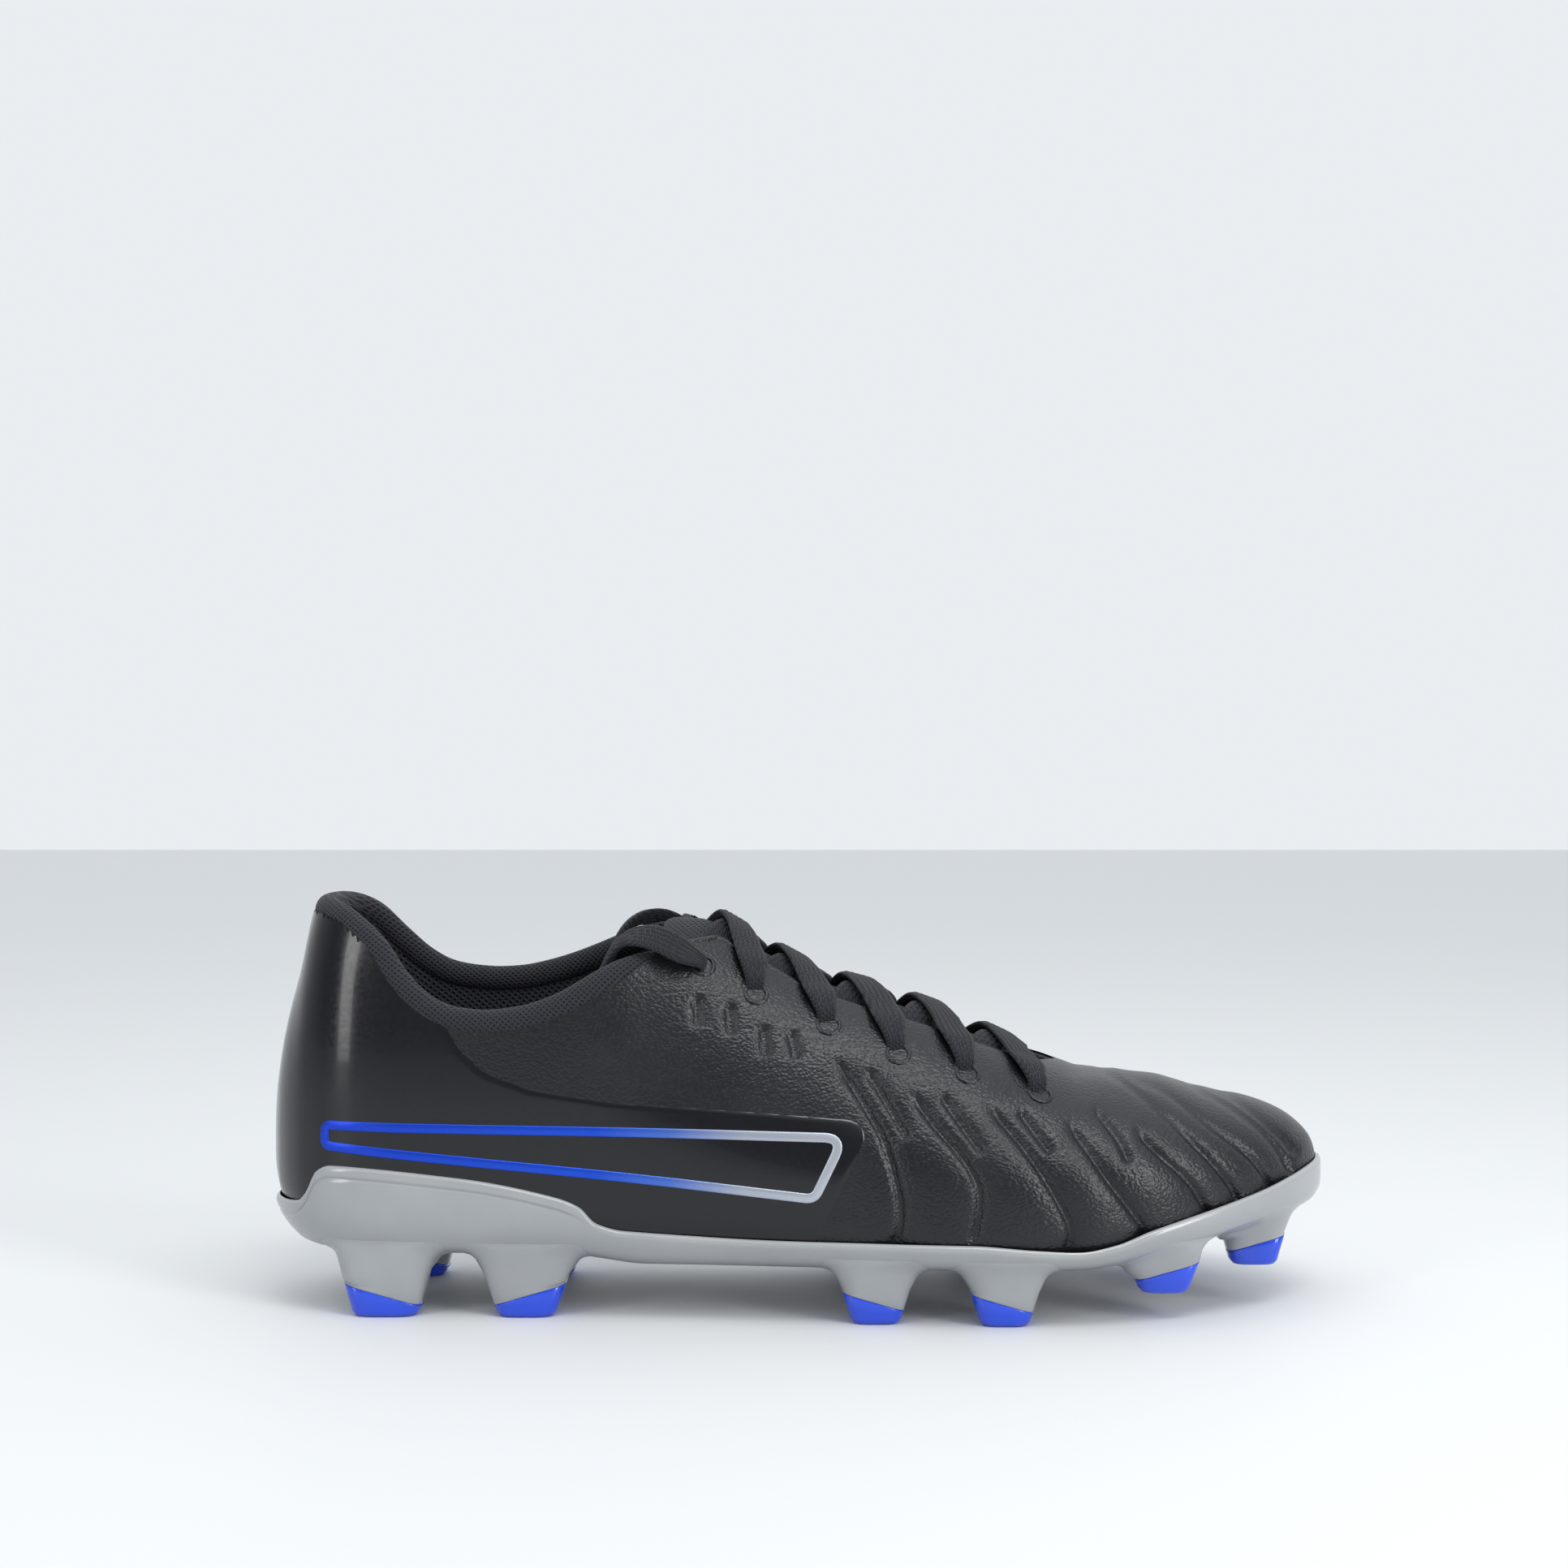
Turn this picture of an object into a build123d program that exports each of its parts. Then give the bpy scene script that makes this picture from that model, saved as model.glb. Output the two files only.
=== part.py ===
from build123d import *
import math
import os

# Soccer cleat, right foot. Millimetres, toe towards +X, lateral side towards -Y, ground at Z = 0.

HEEL_X = -141.5
TOE_X = 141.3
OUTER_SKIN = 1.4
PADDING_END = 3.2
LINING_END = 4.4
LAYER_GAP = 0.05
PLATE_SIDE = 1.2
PLATE_DROP = 3.2
SOCKLINER = 3.1
LASTING_MARGIN = 9.0
SOLE_OPENING_TOP = 30.0
FLEX_X = 75.0
FLEX_Z = 14.0
FLEX_MAX = 20.0
FLEX_GAP = 0.3
BACK_X = 18.0
EYELET_R = 2.4
LACE_WIDTH = 8.0
LACE_LIFT = 0.3
LACE_TOP = 1.7
LACE_UNDER_START = 4.6
LACE_UNDER_END = 6.0
TONGUE_START = 6.4
TONGUE_FACE_END = 7.4
TONGUE_FOAM_END = 10.0
TONGUE_END = 10.9
TAIL_R = 1.6

# Profiles of the lasted upper along X.
UPPER_TOP = [(-142.5, 54), (-141, 65), (-138.5, 77), (-134, 93), (-130.4, 109), (-127, 118), (-120, 126),
             (-105, 130), (-60, 129), (-48, 121), (-38, 112.5), (-28, 106.5), (-12, 97), (5, 88), (25, 82),
             (43, 75.3), (60, 67.5), (76, 62.3), (92, 60.4), (104, 58), (114, 55.6), (122, 53.5),
             (128, 51.4), (133, 49), (137, 46), (139.6, 43), (141.3, 39.6)]
UPPER_BOTTOM = [(-142.5, 38), (-141, 33), (-138.5, 27.5), (-134, 23), (-130, 20.5), (-124, 19.2),
                (-110, 18.3), (-60, 17.8), (-40, 15.5), (70, 15.5), (80, 16.5), (92, 19), (108, 22.7),
                (125, 26.3), (136, 28.8), (141.3, 32.5)]
LATERAL_HALF = [(-142.5, 4.5), (-141, 10), (-138.5, 16), (-134, 22.3), (-130, 26), (-124, 29.5),
                (-115, 32), (-105, 33.3), (-90, 34), (-50, 35), (-30, 36.5), (-10, 39), (10, 41.5),
                (30, 44.3), (50, 46), (70, 46.3), (85, 44.5), (105, 38.5), (120, 31), (130, 23.5),
                (136, 16.5), (140, 9.5), (141.3, 4.5)]
MEDIAL_HALF = [(-142.5, 4.5), (-141, 10), (-138.5, 16), (-134, 22.3), (-130, 26), (-124, 29.5),
               (-115, 32), (-105, 33.3), (-90, 33.5), (-50, 32.5), (-30, 31.7), (-10, 32.5), (10, 36),
               (30, 41.5), (50, 45.2), (70, 45.5), (85, 43.5), (105, 38), (120, 31), (130, 23.5),
               (136, 16.5), (140, 9.5), (141.3, 4.5)]
CENTRE_SHIFT = [(-142.5, 0), (50, 0), (70, 1), (85, 2.2), (105, 4.2), (120, 6), (136, 7.5), (141.3, 7.7)]
WIDEST_Z = [(-142.5, 45), (-130, 43), (-100, 40), (-50, 37), (0, 34), (50, 31), (90, 33), (120, 34.5),
            (136, 34.5), (141.3, 34.8)]
TOP_POWER = [(-142.5, 2.2), (-130, 2.6), (-60, 2.8), (-40, 2.3), (-10, 2.0), (60, 2.0), (100, 2.15),
             (141.3, 2.2)]
FLOOR_LINE = [(-150, 28), (-134, 25.5), (-124, 23.6), (-110, 22.6), (-85, 22.3), (-60, 22.1), (-40, 19.9),
              (70, 19.9), (80, 20.9), (92, 23.4), (108, 27.1), (125, 30.7), (136, 33), (150, 36)]
PLATE_EDGE = [(-150, 28.8), (-139, 29), (-132.5, 30), (-129.5, 33), (-126.5, 38.6), (-123, 40), (-89, 37.4),
              (-64, 32.6), (-57.5, 30), (-53, 25.4), (-46, 23.5), (2, 21.6), (43, 21.7), (59.5, 20.2),
              (70, 19.4), (80, 21.2), (89, 24.7), (107, 29.3), (122, 32.7), (139, 37), (150, 39)]
LATERAL_COLLAR = [(-150, 109), (-134, 108.5), (-128, 108), (-122, 106.5), (-117, 103), (-111.5, 98),
                  (-106, 90.4), (-101, 85.2), (-96, 81.8), (-90.5, 79.8), (-82, 79), (-73, 80), (-63, 83.2),
                  (-54, 88.2), (-46, 92.8), (-40, 95.2), (-34, 96.5), (-28, 97.2), (-22, 98), (-17, 99.8),
                  (-13, 104.5), (-10, 118), (-8, 150)]
MEDIAL_COLLAR = [(-150, 109), (-134, 108.5), (-128, 108), (-121.5, 105), (-115, 98.5), (-107, 91),
                 (-100, 87.3), (-93, 85.9), (-86, 85.4), (-79, 85.8), (-72, 87.2), (-65, 89.2), (-58, 91.8),
                 (-51, 94.8), (-44, 98), (-39, 100.2), (-34, 101.7), (-29, 103), (-24, 106.5), (-20, 118),
                 (-18, 150)]
THROAT_HALF = [(-62, 13), (-40, 13), (-26, 13.2), (-12, 14), (7, 16), (25, 18), (43, 18.2), (56, 15), (64, 10)]
THROAT_END = 69.5
TONGUE_HALF = [(-33, 15), (-24, 16.8), (-10, 18.5), (7, 21), (25, 24.5), (43, 25), (56, 21), (64, 16)]
TONGUE_LAYERS = [("tongue_face", TONGUE_START, TONGUE_FACE_END),
                 ("tongue_foam", TONGUE_FACE_END + LAYER_GAP, TONGUE_FOAM_END),
                 ("tongue_lining", TONGUE_FOAM_END + LAYER_GAP, TONGUE_END)]
EYELETS = [(-26, 91.5), (-12, 84), (7, 76), (25, 69), (43, 64), (62, 58.5)]
STATIONS = [HEEL_X, -140, -137.3, -132.5, -125, -114, -98, -80, -62, -47, -34, -20, -4, 14, 32, 50, 66, 80, 93,
            105, 117, 127, 134, 138.8, TOE_X]
THROAT_STATIONS = [-64, -50, -38, -26, -14, 0, 14, 28, 42, 56, 70, 84]
SECTION_POINTS = 22
SECTION_KNOTS = [n / SECTION_POINTS for n in range(SECTION_POINTS + 1)]
BOTTOM_POWER = 4.5

# Loose lace ends: from the top eyelets over the collar edge, down the inside and along the sockliner.
TAIL_ROUTES = {"lateral": [(-31, -28.3, 95.6), (-39.5, -27, 99.8), (-48, -21, 98.6), (-54, -18, 87.5),
                           (-58.5, -22.5, 69), (-64, -24, 50), (-72, -22.5, 35.4), (-86, -20, 28.8),
                           (-99, -16.5, 28.2), (-109, -10, 28.6)],
               "medial": [(-31, 25.6, 96), (-39.5, 25, 101.5), (-48, 20.5, 101), (-54, 16.5, 91),
                          (-57.5, 19.5, 74), (-61, 21.5, 56), (-68, 21.5, 39.5), (-79, 19.5, 29.6),
                          (-92, 17, 28.2), (-104, 13.5, 28.5)]}
AGLET_R = 1.8
AGLET_LENGTH = 20.0

# Studs: name, x, lateral or medial y, tip z, root length, tip length, root width, tip width, slant.
STUDS = [("heel_lateral_rear", -109, -23.5, 0, 25, 17, 16, 10, -0.3),
         ("heel_lateral_front", -72, -24, 0, 25, 15, 16, 10, 0.3),
         ("heel_medial_rear", -109, 23.5, 0, 25, 17, 16, 10, -0.3),
         ("heel_medial_front", -72, 23, 0, 25, 15, 16, 10, 0.3),
         ("fore_lateral_rear", 19, -32, 0, 20, 12.5, 15, 9, -0.3),
         ("fore_lateral_mid", 52, -34.5, 0, 20, 12.5, 15, 9, -0.3),
         ("fore_medial_rear", 19, 29, 0, 20, 12.5, 15, 9, -0.3),
         ("fore_medial_mid", 52, 34.5, 0, 20, 12.5, 15, 9, -0.3),
         ("fore_lateral_front", 94, -28, 7, 19, 12.5, 14, 9, 0.3),
         ("toe_lateral", 120.6, -13, 11, 18, 12, 12, 8, 0.3),
         ("fore_medial_front", 94, 33, 7, 19, 12.5, 14, 9, 0.3),
         ("toe_medial", 120.6, 25, 11, 18, 12, 12, 8, 0.3)]
STUD_COLOUR_Z = 5.9


def follow(table, x):
    """Smooth value of a table of (x, value) at x, with no overshoot between its rows."""
    if x <= table[0][0]:
        return table[0][1]
    if x >= table[-1][0]:
        return table[-1][1]
    slopes = [(b[1] - a[1]) / (b[0] - a[0]) for a, b in zip(table, table[1:])]
    i = max(n for n in range(len(slopes)) if table[n][0] <= x)
    ends = []
    for n in (i, i + 1):
        before = slopes[max(n - 1, 0)]
        after = slopes[min(n, len(slopes) - 1)]
        ends.append(0.0 if before * after <= 0 else 2 * before * after / (before + after))
    step = table[i + 1][0] - table[i][0]
    t = (x - table[i][0]) / step
    low = (1 + 2 * t) * (1 - t) ** 2 * table[i][1] + t * (1 - t) ** 2 * step * ends[0]
    high = t * t * (3 - 2 * t) * table[i + 1][1] + t * t * (t - 1) * step * ends[1]
    return low + high


def section_loop(x, inset, drop):
    """Closed loop of (y, z) points around the upper at x, moved inwards by inset."""
    middle = follow(CENTRE_SHIFT, x)
    widest = follow(WIDEST_Z, x)
    top = max(follow(UPPER_TOP, x) - 1.05 * inset, widest + 1.2)
    bottom = min(follow(UPPER_BOTTOM, x) + inset, widest - 1.2) - drop
    power = follow(TOP_POWER, x)
    loop = []
    for n in range(SECTION_POINTS):
        angle = 2 * math.pi * (n + 0.4) / SECTION_POINTS - math.pi / 2
        half = follow(MEDIAL_HALF if math.cos(angle) > 0 else LATERAL_HALF, x)
        half = max(half - inset, 1.0)
        p = power if math.sin(angle) > 0 else BOTTOM_POWER
        reach = top - widest if math.sin(angle) > 0 else widest - bottom
        across = math.copysign(abs(math.cos(angle)) ** (2 / p), math.cos(angle))
        up = math.copysign(abs(math.sin(angle)) ** (2 / p), math.sin(angle))
        loop.append((middle + half * across, widest + reach * up))
    return loop


def form_sections(inset, drop=0.0, stations=STATIONS):
    """Sections of the foot form, inset from the outer skin, ready to loft."""
    sections = []
    squeeze = 1 - inset / 142.0
    for x in stations:
        with BuildSketch(Plane.YZ.offset(x * squeeze)) as section:
            with BuildLine():
                loop = [Vector(y, z) for y, z in section_loop(x, inset, drop)]
                add(Edge.make_spline(loop, periodic=True, parameters=SECTION_KNOTS))
            make_face()
        sections.append(section.sketch)
    return sections


def skin_y(x, z, side):
    """Signed y of the outer skin at height z above the widest line; side is -1 lateral, 1 medial."""
    half = follow(MEDIAL_HALF if side > 0 else LATERAL_HALF, x)
    power = follow(TOP_POWER, x)
    widest = follow(WIDEST_Z, x)
    share = (z - widest) / (follow(UPPER_TOP, x) - widest)
    return follow(CENTRE_SHIFT, x) + side * half * (1 - share ** power) ** (1 / power)


def eyelet_plane(x, z, side, lift=0.0):
    """Plane on the outer skin at an eyelet, its normal pointing out of the shoe."""
    here = Vector(x, skin_y(x, z, side), z)
    along = Vector(x + 1, skin_y(x + 1, z, side), z) - here
    up = Vector(x, skin_y(x, z + 1, side), z + 1) - here
    normal = along.cross(up).normalized() * -side
    return Plane(origin=here + normal * lift, x_dir=along, z_dir=normal)


def region_above(curve, plane=Plane.XZ.offset(-100), top=170):
    """Side-view sketch of everything above a curve of (x, z)."""
    with BuildSketch(plane) as region:
        with BuildLine():
            edge = Spline(*curve)
            Polyline(edge @ 1, (curve[-1][0], top), (curve[0][0], top), edge @ 0)
        make_face()
    return region.sketch


def side_polygon(points, plane=Plane.XZ.offset(-100)):
    """Side-view polygon of (x, z) points."""
    with BuildSketch(plane) as region:
        with BuildLine():
            Polyline(*points, close=True)
        make_face()
    return region.sketch


def split_regions():
    """Side-view polygons of the rear body, the forefoot body and the soft wedge between them."""
    slope = math.tan(math.radians(FLEX_MAX + 1.5))
    rise = 170 - FLEX_Z
    rear_x = FLEX_X - FLEX_GAP / 2
    front_x = FLEX_X + FLEX_GAP / 2
    rear = [(-170, -20), (rear_x, -20), (rear_x, 170), (-170, 170)]
    front = [(front_x, -20), (front_x, FLEX_Z), (front_x + slope * rise, 170), (190, 170), (190, -20)]
    wedge = [(rear_x + LAYER_GAP, FLEX_Z + 1), (rear_x + LAYER_GAP, 170), (front_x - 0.35 + slope * rise, 170),
             (front_x - 0.35 + slope, FLEX_Z + 1)]
    return rear, front, wedge


REAR, FRONT, WEDGE = split_regions()


def band(x0, x1, z0=-20, z1=170):
    """Side-view rectangle from x0 to x1."""
    return [(x0, z0), (x1, z0), (x1, z1), (x0, z1)]


def throat_outline(margin=0.0, end=THROAT_END):
    """Plan sketch of the lacing opening, widened by margin."""
    with BuildSketch(Plane.XY.offset(45)) as slot:
        with BuildLine():
            side = Spline(*[(x, y + margin) for x, y in THROAT_HALF], (end + margin, 0),
                          tangents=((1, 0), (0, -1)))
            other = Spline(*[(x, -y - margin) for x, y in THROAT_HALF], (end + margin, 0),
                           tangents=((1, 0), (0, 1)))
            Line(side @ 0, other @ 0)
        make_face()
    return slot.sketch


# Shared cutters of the upper: collar line on each side, lacing opening and eyelets.
with BuildPart() as collar_cut:
    extrude(region_above(LATERAL_COLLAR, Plane.XZ), amount=100)
    extrude(region_above(MEDIAL_COLLAR, Plane.XZ), amount=-100)

with BuildPart() as throat_cut:
    extrude(throat_outline(), amount=130)


def sole_outline(margin):
    """Plan polygon inside the lasting margin of the upper."""
    xs = [-126, -118, -104, -80, -50, -20, 10, 35, 60, 80, 97, 110, 120]
    lateral = [(x, follow(CENTRE_SHIFT, x) - follow(LATERAL_HALF, x) + margin) for x in xs]
    medial = [(x, follow(CENTRE_SHIFT, x) + follow(MEDIAL_HALF, x) - margin) for x in xs]
    with BuildSketch(Plane.XY) as outline:
        with BuildLine():
            Polyline(*lateral, *reversed(medial), close=True)
        make_face()
    return outline.sketch


with BuildPart() as sole_cut:
    extrude(sole_outline(LASTING_MARGIN), amount=SOLE_OPENING_TOP)

with BuildPart() as eyelet_punch:
    for eyelet_x, eyelet_z in EYELETS:
        for eyelet_side in (-1, 1):
            with Locations(eyelet_plane(eyelet_x, eyelet_z, eyelet_side)):
                Cylinder(EYELET_R, 16)


def upper_layer(outer, inner, eyelets=True):
    """Open-bottomed layer of the upper between two insets, with the collar and throat cut."""
    with BuildPart() as layer:
        loft(form_sections(outer))
        loft(form_sections(inner), mode=Mode.SUBTRACT)
        add(sole_cut.part, mode=Mode.SUBTRACT)
        add(collar_cut.part, mode=Mode.SUBTRACT)
        add(throat_cut.part, mode=Mode.SUBTRACT)
        if eyelets:
            add(eyelet_punch.part, mode=Mode.SUBTRACT)
    return layer.part


def piece_of(layer, points, name, plane=Plane.XZ.offset(-100), depth=200):
    """Piece of a layer inside a side-view polygon, labelled and written."""
    with BuildPart() as piece:
        add(layer)
        extrude(side_polygon(points, plane), amount=depth, mode=Mode.INTERSECT)
    write(piece.part, name)
    return piece.part


def write(part, name):
    """Label a finished piece and write its STEP."""
    part.label = name
    export_step(part, f"parts/{name}.step")


os.makedirs("parts", exist_ok=True)

# Outer skin: toe, flexing crease, vamp and the two quarters.
skin = upper_layer(0, OUTER_SKIN)
piece_of(skin, FRONT, "vamp_toe")
piece_of(skin, WEDGE, "vamp_flex")
piece_of(skin, band(BACK_X + LAYER_GAP, FLEX_X - FLEX_GAP / 2), "vamp")
piece_of(skin, band(-170, BACK_X), "quarter_lateral", Plane.XZ.offset(LAYER_GAP / 2), 100)
piece_of(skin, band(-170, BACK_X), "quarter_medial", Plane.XZ.offset(-LAYER_GAP / 2), -100)

# Padding and stiffeners between the skin and the lining.
padding = upper_layer(OUTER_SKIN + LAYER_GAP, PADDING_END)
stay = [(-41.95, 72), (7, 62), (43, 50), (74.8, 44), (74.8, 170), (-41.95, 170)]
below_stay = [(-42, -20), (74.8, -20), (74.8, 43.95), (43, 49.95), (7, 61.95), (-42, 71.95)]
counter = [(-170, -20), (-42.05, -20), (-42.05, 40), (-75, 60), (-100, 76), (-170, 88)]
collar_zone = [(-170, 88.05), (-100, 76.05), (-75, 60.05), (-42.05, 40.05), (-42.05, 170), (-170, 170)]
piece_of(padding, FRONT, "toe_puff")
piece_of(padding, stay, "eyestay_lateral", Plane.XZ.offset(LAYER_GAP / 2), 100)
piece_of(padding, stay, "eyestay_medial", Plane.XZ.offset(-LAYER_GAP / 2), -100)
piece_of(padding, below_stay, "vamp_foam")
piece_of(padding, counter, "heel_counter")
piece_of(padding, collar_zone, "collar_foam")

# Lining.
lining = upper_layer(PADDING_END + LAYER_GAP, LINING_END)
piece_of(lining, FRONT, "toe_lining")
piece_of(lining, band(BACK_X + LAYER_GAP, FLEX_X - FLEX_GAP / 2), "vamp_lining")
piece_of(lining, band(-170, BACK_X), "quarter_lining")
inner_skin = upper_layer(OUTER_SKIN + LAYER_GAP, LINING_END, eyelets=False)
piece_of(inner_skin, WEDGE, "flex_lining")

# Strobel board and sockliner.
with BuildPart() as board:
    loft(form_sections(0))
    extrude(sole_outline(LASTING_MARGIN + LAYER_GAP), amount=SOLE_OPENING_TOP + 10, mode=Mode.INTERSECT)
    extrude(region_above(FLOOR_LINE), amount=200, mode=Mode.SUBTRACT)
piece_of(board.part, REAR, "strobel_board")
piece_of(board.part, FRONT, "strobel_toe")
sockliner_top = [(x, z + SOCKLINER) for x, z in FLOOR_LINE]
with BuildPart() as footbed:
    loft(form_sections(LINING_END + 0.1))
    extrude(region_above(sockliner_top), amount=200, mode=Mode.SUBTRACT)
piece_of(footbed.part, REAR, "sockliner")
piece_of(footbed.part, FRONT, "sockliner_toe")


def stud_post(stud):
    """Whole tapered stud, from inside the plate to its tip."""
    name, x, y, tip_z, root_l, tip_l, root_w, tip_w, slant = stud
    root_z = follow(UPPER_BOTTOM, x) - PLATE_DROP + 1.0
    with BuildPart() as post:
        with BuildSketch(Plane.XY.offset(root_z + 5)):
            with Locations((x, y)):
                RectangleRounded(root_l + 2.4, root_w + 2, 5)
        with BuildSketch(Plane.XY.offset(root_z - 2)):
            with Locations((x, y)):
                RectangleRounded(root_l - 2, root_w - 1.6, 4.5)
        with BuildSketch(Plane.XY.offset(tip_z)):
            with Locations((x, y)):
                RectangleRounded(tip_l, tip_w, 3.5)
        loft(ruled=True)
    return post.part


def stud_line(stud, above):
    """Side-view polygon above or below the stud's slanted colour line."""
    x, slant = stud[1], stud[8]
    z = stud[3] + STUD_COLOUR_Z + (LAYER_GAP if above else 0)
    far = 100 if above else -100
    return [(x - 30, z - 30 * slant), (x + 30, z + 30 * slant), (x + 30, far), (x - 30, far)]


# Outsole plate with its twelve stud posts, split at the flex line.
with BuildPart() as posts:
    for stud in STUDS:
        with BuildPart(mode=Mode.PRIVATE) as grey:
            add(stud_post(stud))
            extrude(side_polygon(stud_line(stud, True)), amount=200, mode=Mode.INTERSECT)
        add(grey.part)

with BuildPart() as plate:
    loft(form_sections(-PLATE_SIDE, PLATE_DROP - PLATE_SIDE))
    extrude(region_above(PLATE_EDGE), amount=200, mode=Mode.SUBTRACT)
    add(posts.part)
    loft(form_sections(-LAYER_GAP), mode=Mode.SUBTRACT)
piece_of(plate.part, REAR, "outsole_plate")
piece_of(plate.part, FRONT, "outsole_toe")

for stud in STUDS:
    with BuildPart() as tip:
        add(stud_post(stud))
        extrude(side_polygon(stud_line(stud, False)), amount=200, mode=Mode.INTERSECT)
        fillet(tip.faces().sort_by(Axis.Z)[0].edges(), 1.2)
    write(tip.part, "stud_tip_" + stud[0])

# Tongue: face, padding and lining, under the eyestays and clear of the lace.
with BuildPart() as tongue_plan:
    with BuildSketch(Plane.XY.offset(40)):
        with BuildLine():
            medial_edge = Spline(*TONGUE_HALF, (67, 11))
            lateral_edge = Spline(*[(x, -y) for x, y in TONGUE_HALF], (67, -11))
            Line(medial_edge @ 1, lateral_edge @ 1)
            Spline(medial_edge @ 0, (-37, 8), (-37, -8), lateral_edge @ 0)
        make_face()
    extrude(amount=100)

for layer_name, layer_outer, layer_inner in TONGUE_LAYERS:
    with BuildPart() as tongue:
        loft(form_sections(layer_outer, 0, THROAT_STATIONS))
        loft(form_sections(layer_inner, 0, THROAT_STATIONS), mode=Mode.SUBTRACT)
        add(tongue_plan.part, mode=Mode.INTERSECT)
    write(tongue.part, layer_name)


def strip_plan(runs, width):
    """Plan-view prism of straight strips between pairs of (x, y) points."""
    with BuildPart() as plan:
        with BuildSketch(Plane.XY.offset(40)):
            for start, end in runs:
                middle = (Vector(*start) + Vector(*end)) * 0.5
                run = Vector(*end) - Vector(*start)
                turn = math.degrees(math.atan2(run.Y, run.X))
                with Locations((middle.X, middle.Y)):
                    Rectangle(run.length, width, rotation=turn)
        extrude(amount=110)
    return plan.part


def lace_runs():
    """Plan-view runs of the lace: over the throat, down at its edge and under the eyestay."""
    holes = {}
    for n, (x, z) in enumerate(EYELETS):
        for side in (-1, 1):
            holes[n, side] = Vector(x, skin_y(x, z, side))
    over, drop, under = [], [], []
    last = len(EYELETS) - 1
    under.append((holes[last, -1], holes[last, 1]))
    for n in range(last, 0, -1):
        for side in (-1, 1):
            low, high = holes[n, side], holes[n - 1, -side]
            across = (high - low).normalized()
            edge = follow(THROAT_HALF, high.X + 4) - 1.5
            end = high - across * (abs(high.Y) - edge) / abs(across.Y)
            over.append((low - across * 2, end))
            drop.append((end - across * 1.5, end + across * 0.1))
            under.append((end - across * 1.5, high + across * 3))
    return over, drop, under


over_runs, drop_runs, under_runs = lace_runs()
with BuildPart() as lace_over:
    loft(form_sections(-LACE_TOP, 0, THROAT_STATIONS))
    loft(form_sections(-LACE_LIFT, 0, THROAT_STATIONS), mode=Mode.SUBTRACT)
    add(strip_plan([(tuple(a), tuple(b)) for a, b in over_runs], LACE_WIDTH), mode=Mode.INTERSECT)
with BuildPart() as lace_under:
    loft(form_sections(LACE_UNDER_START, 0, THROAT_STATIONS))
    loft(form_sections(LACE_UNDER_END, 0, THROAT_STATIONS), mode=Mode.SUBTRACT)
    add(strip_plan([(tuple(a), tuple(b)) for a, b in under_runs], LACE_WIDTH - 1), mode=Mode.INTERSECT)
with BuildPart() as lace_drop:
    loft(form_sections(-LACE_TOP, 0, THROAT_STATIONS))
    loft(form_sections(LACE_UNDER_END, 0, THROAT_STATIONS), mode=Mode.SUBTRACT)
    add(strip_plan([(tuple(a), tuple(b)) for a, b in drop_runs], LACE_WIDTH - 2), mode=Mode.INTERSECT)
with BuildPart() as lace:
    add(lace_over.part)
    add(lace_under.part)
    add(lace_drop.part)
    for eyelet_x, eyelet_z in EYELETS:
        for eyelet_side in (-1, 1):
            with Locations(eyelet_plane(eyelet_x, eyelet_z, eyelet_side, -2.05)):
                Cylinder(EYELET_R - 0.5, 5.7)
write(lace.part, "lace")


def corner_radii(points):
    """Largest fair radius of each corner of a route."""
    radii = []
    for before, here, after in zip(points, points[1:], points[2:]):
        into, out = Vector(*here) - Vector(*before), Vector(*after) - Vector(*here)
        half_turn = math.radians(into.get_angle(out)) / 2
        radii.append(0.45 * min(into.length, out.length) / math.tan(half_turn))
    return radii


for side_name, route in TAIL_ROUTES.items():
    sign = -1 if side_name == "lateral" else 1
    exit_plane = eyelet_plane(*EYELETS[0], sign, 0.85)
    start = tuple(exit_plane.origin)
    points = [start, *route]
    tail_radii = corner_radii(points)
    with BuildPart() as tail:
        with BuildLine():
            path = FilletPolyline(*points, radius=tail_radii)
        with BuildSketch(Plane(origin=path @ 0, z_dir=path % 0)):
            Circle(TAIL_R)
        sweep()
    write(tail.part, "lace_tail_" + side_name)
    tail_length = path.length
    share = tail.part.volume / (math.pi * TAIL_R ** 2 * tail_length)
    print(side_name, "tail length", round(tail_length, 1), "volume share", round(share, 4))
    print("radii", [round(radius, 1) for radius in tail_radii])
    with BuildPart() as aglet:
        with BuildSketch(Plane(origin=path @ 1 + (path % 1) * LAYER_GAP, z_dir=path % 1)):
            Circle(AGLET_R)
        extrude(amount=AGLET_LENGTH)
    write(aglet.part, "aglet_" + side_name)
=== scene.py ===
import math

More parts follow.
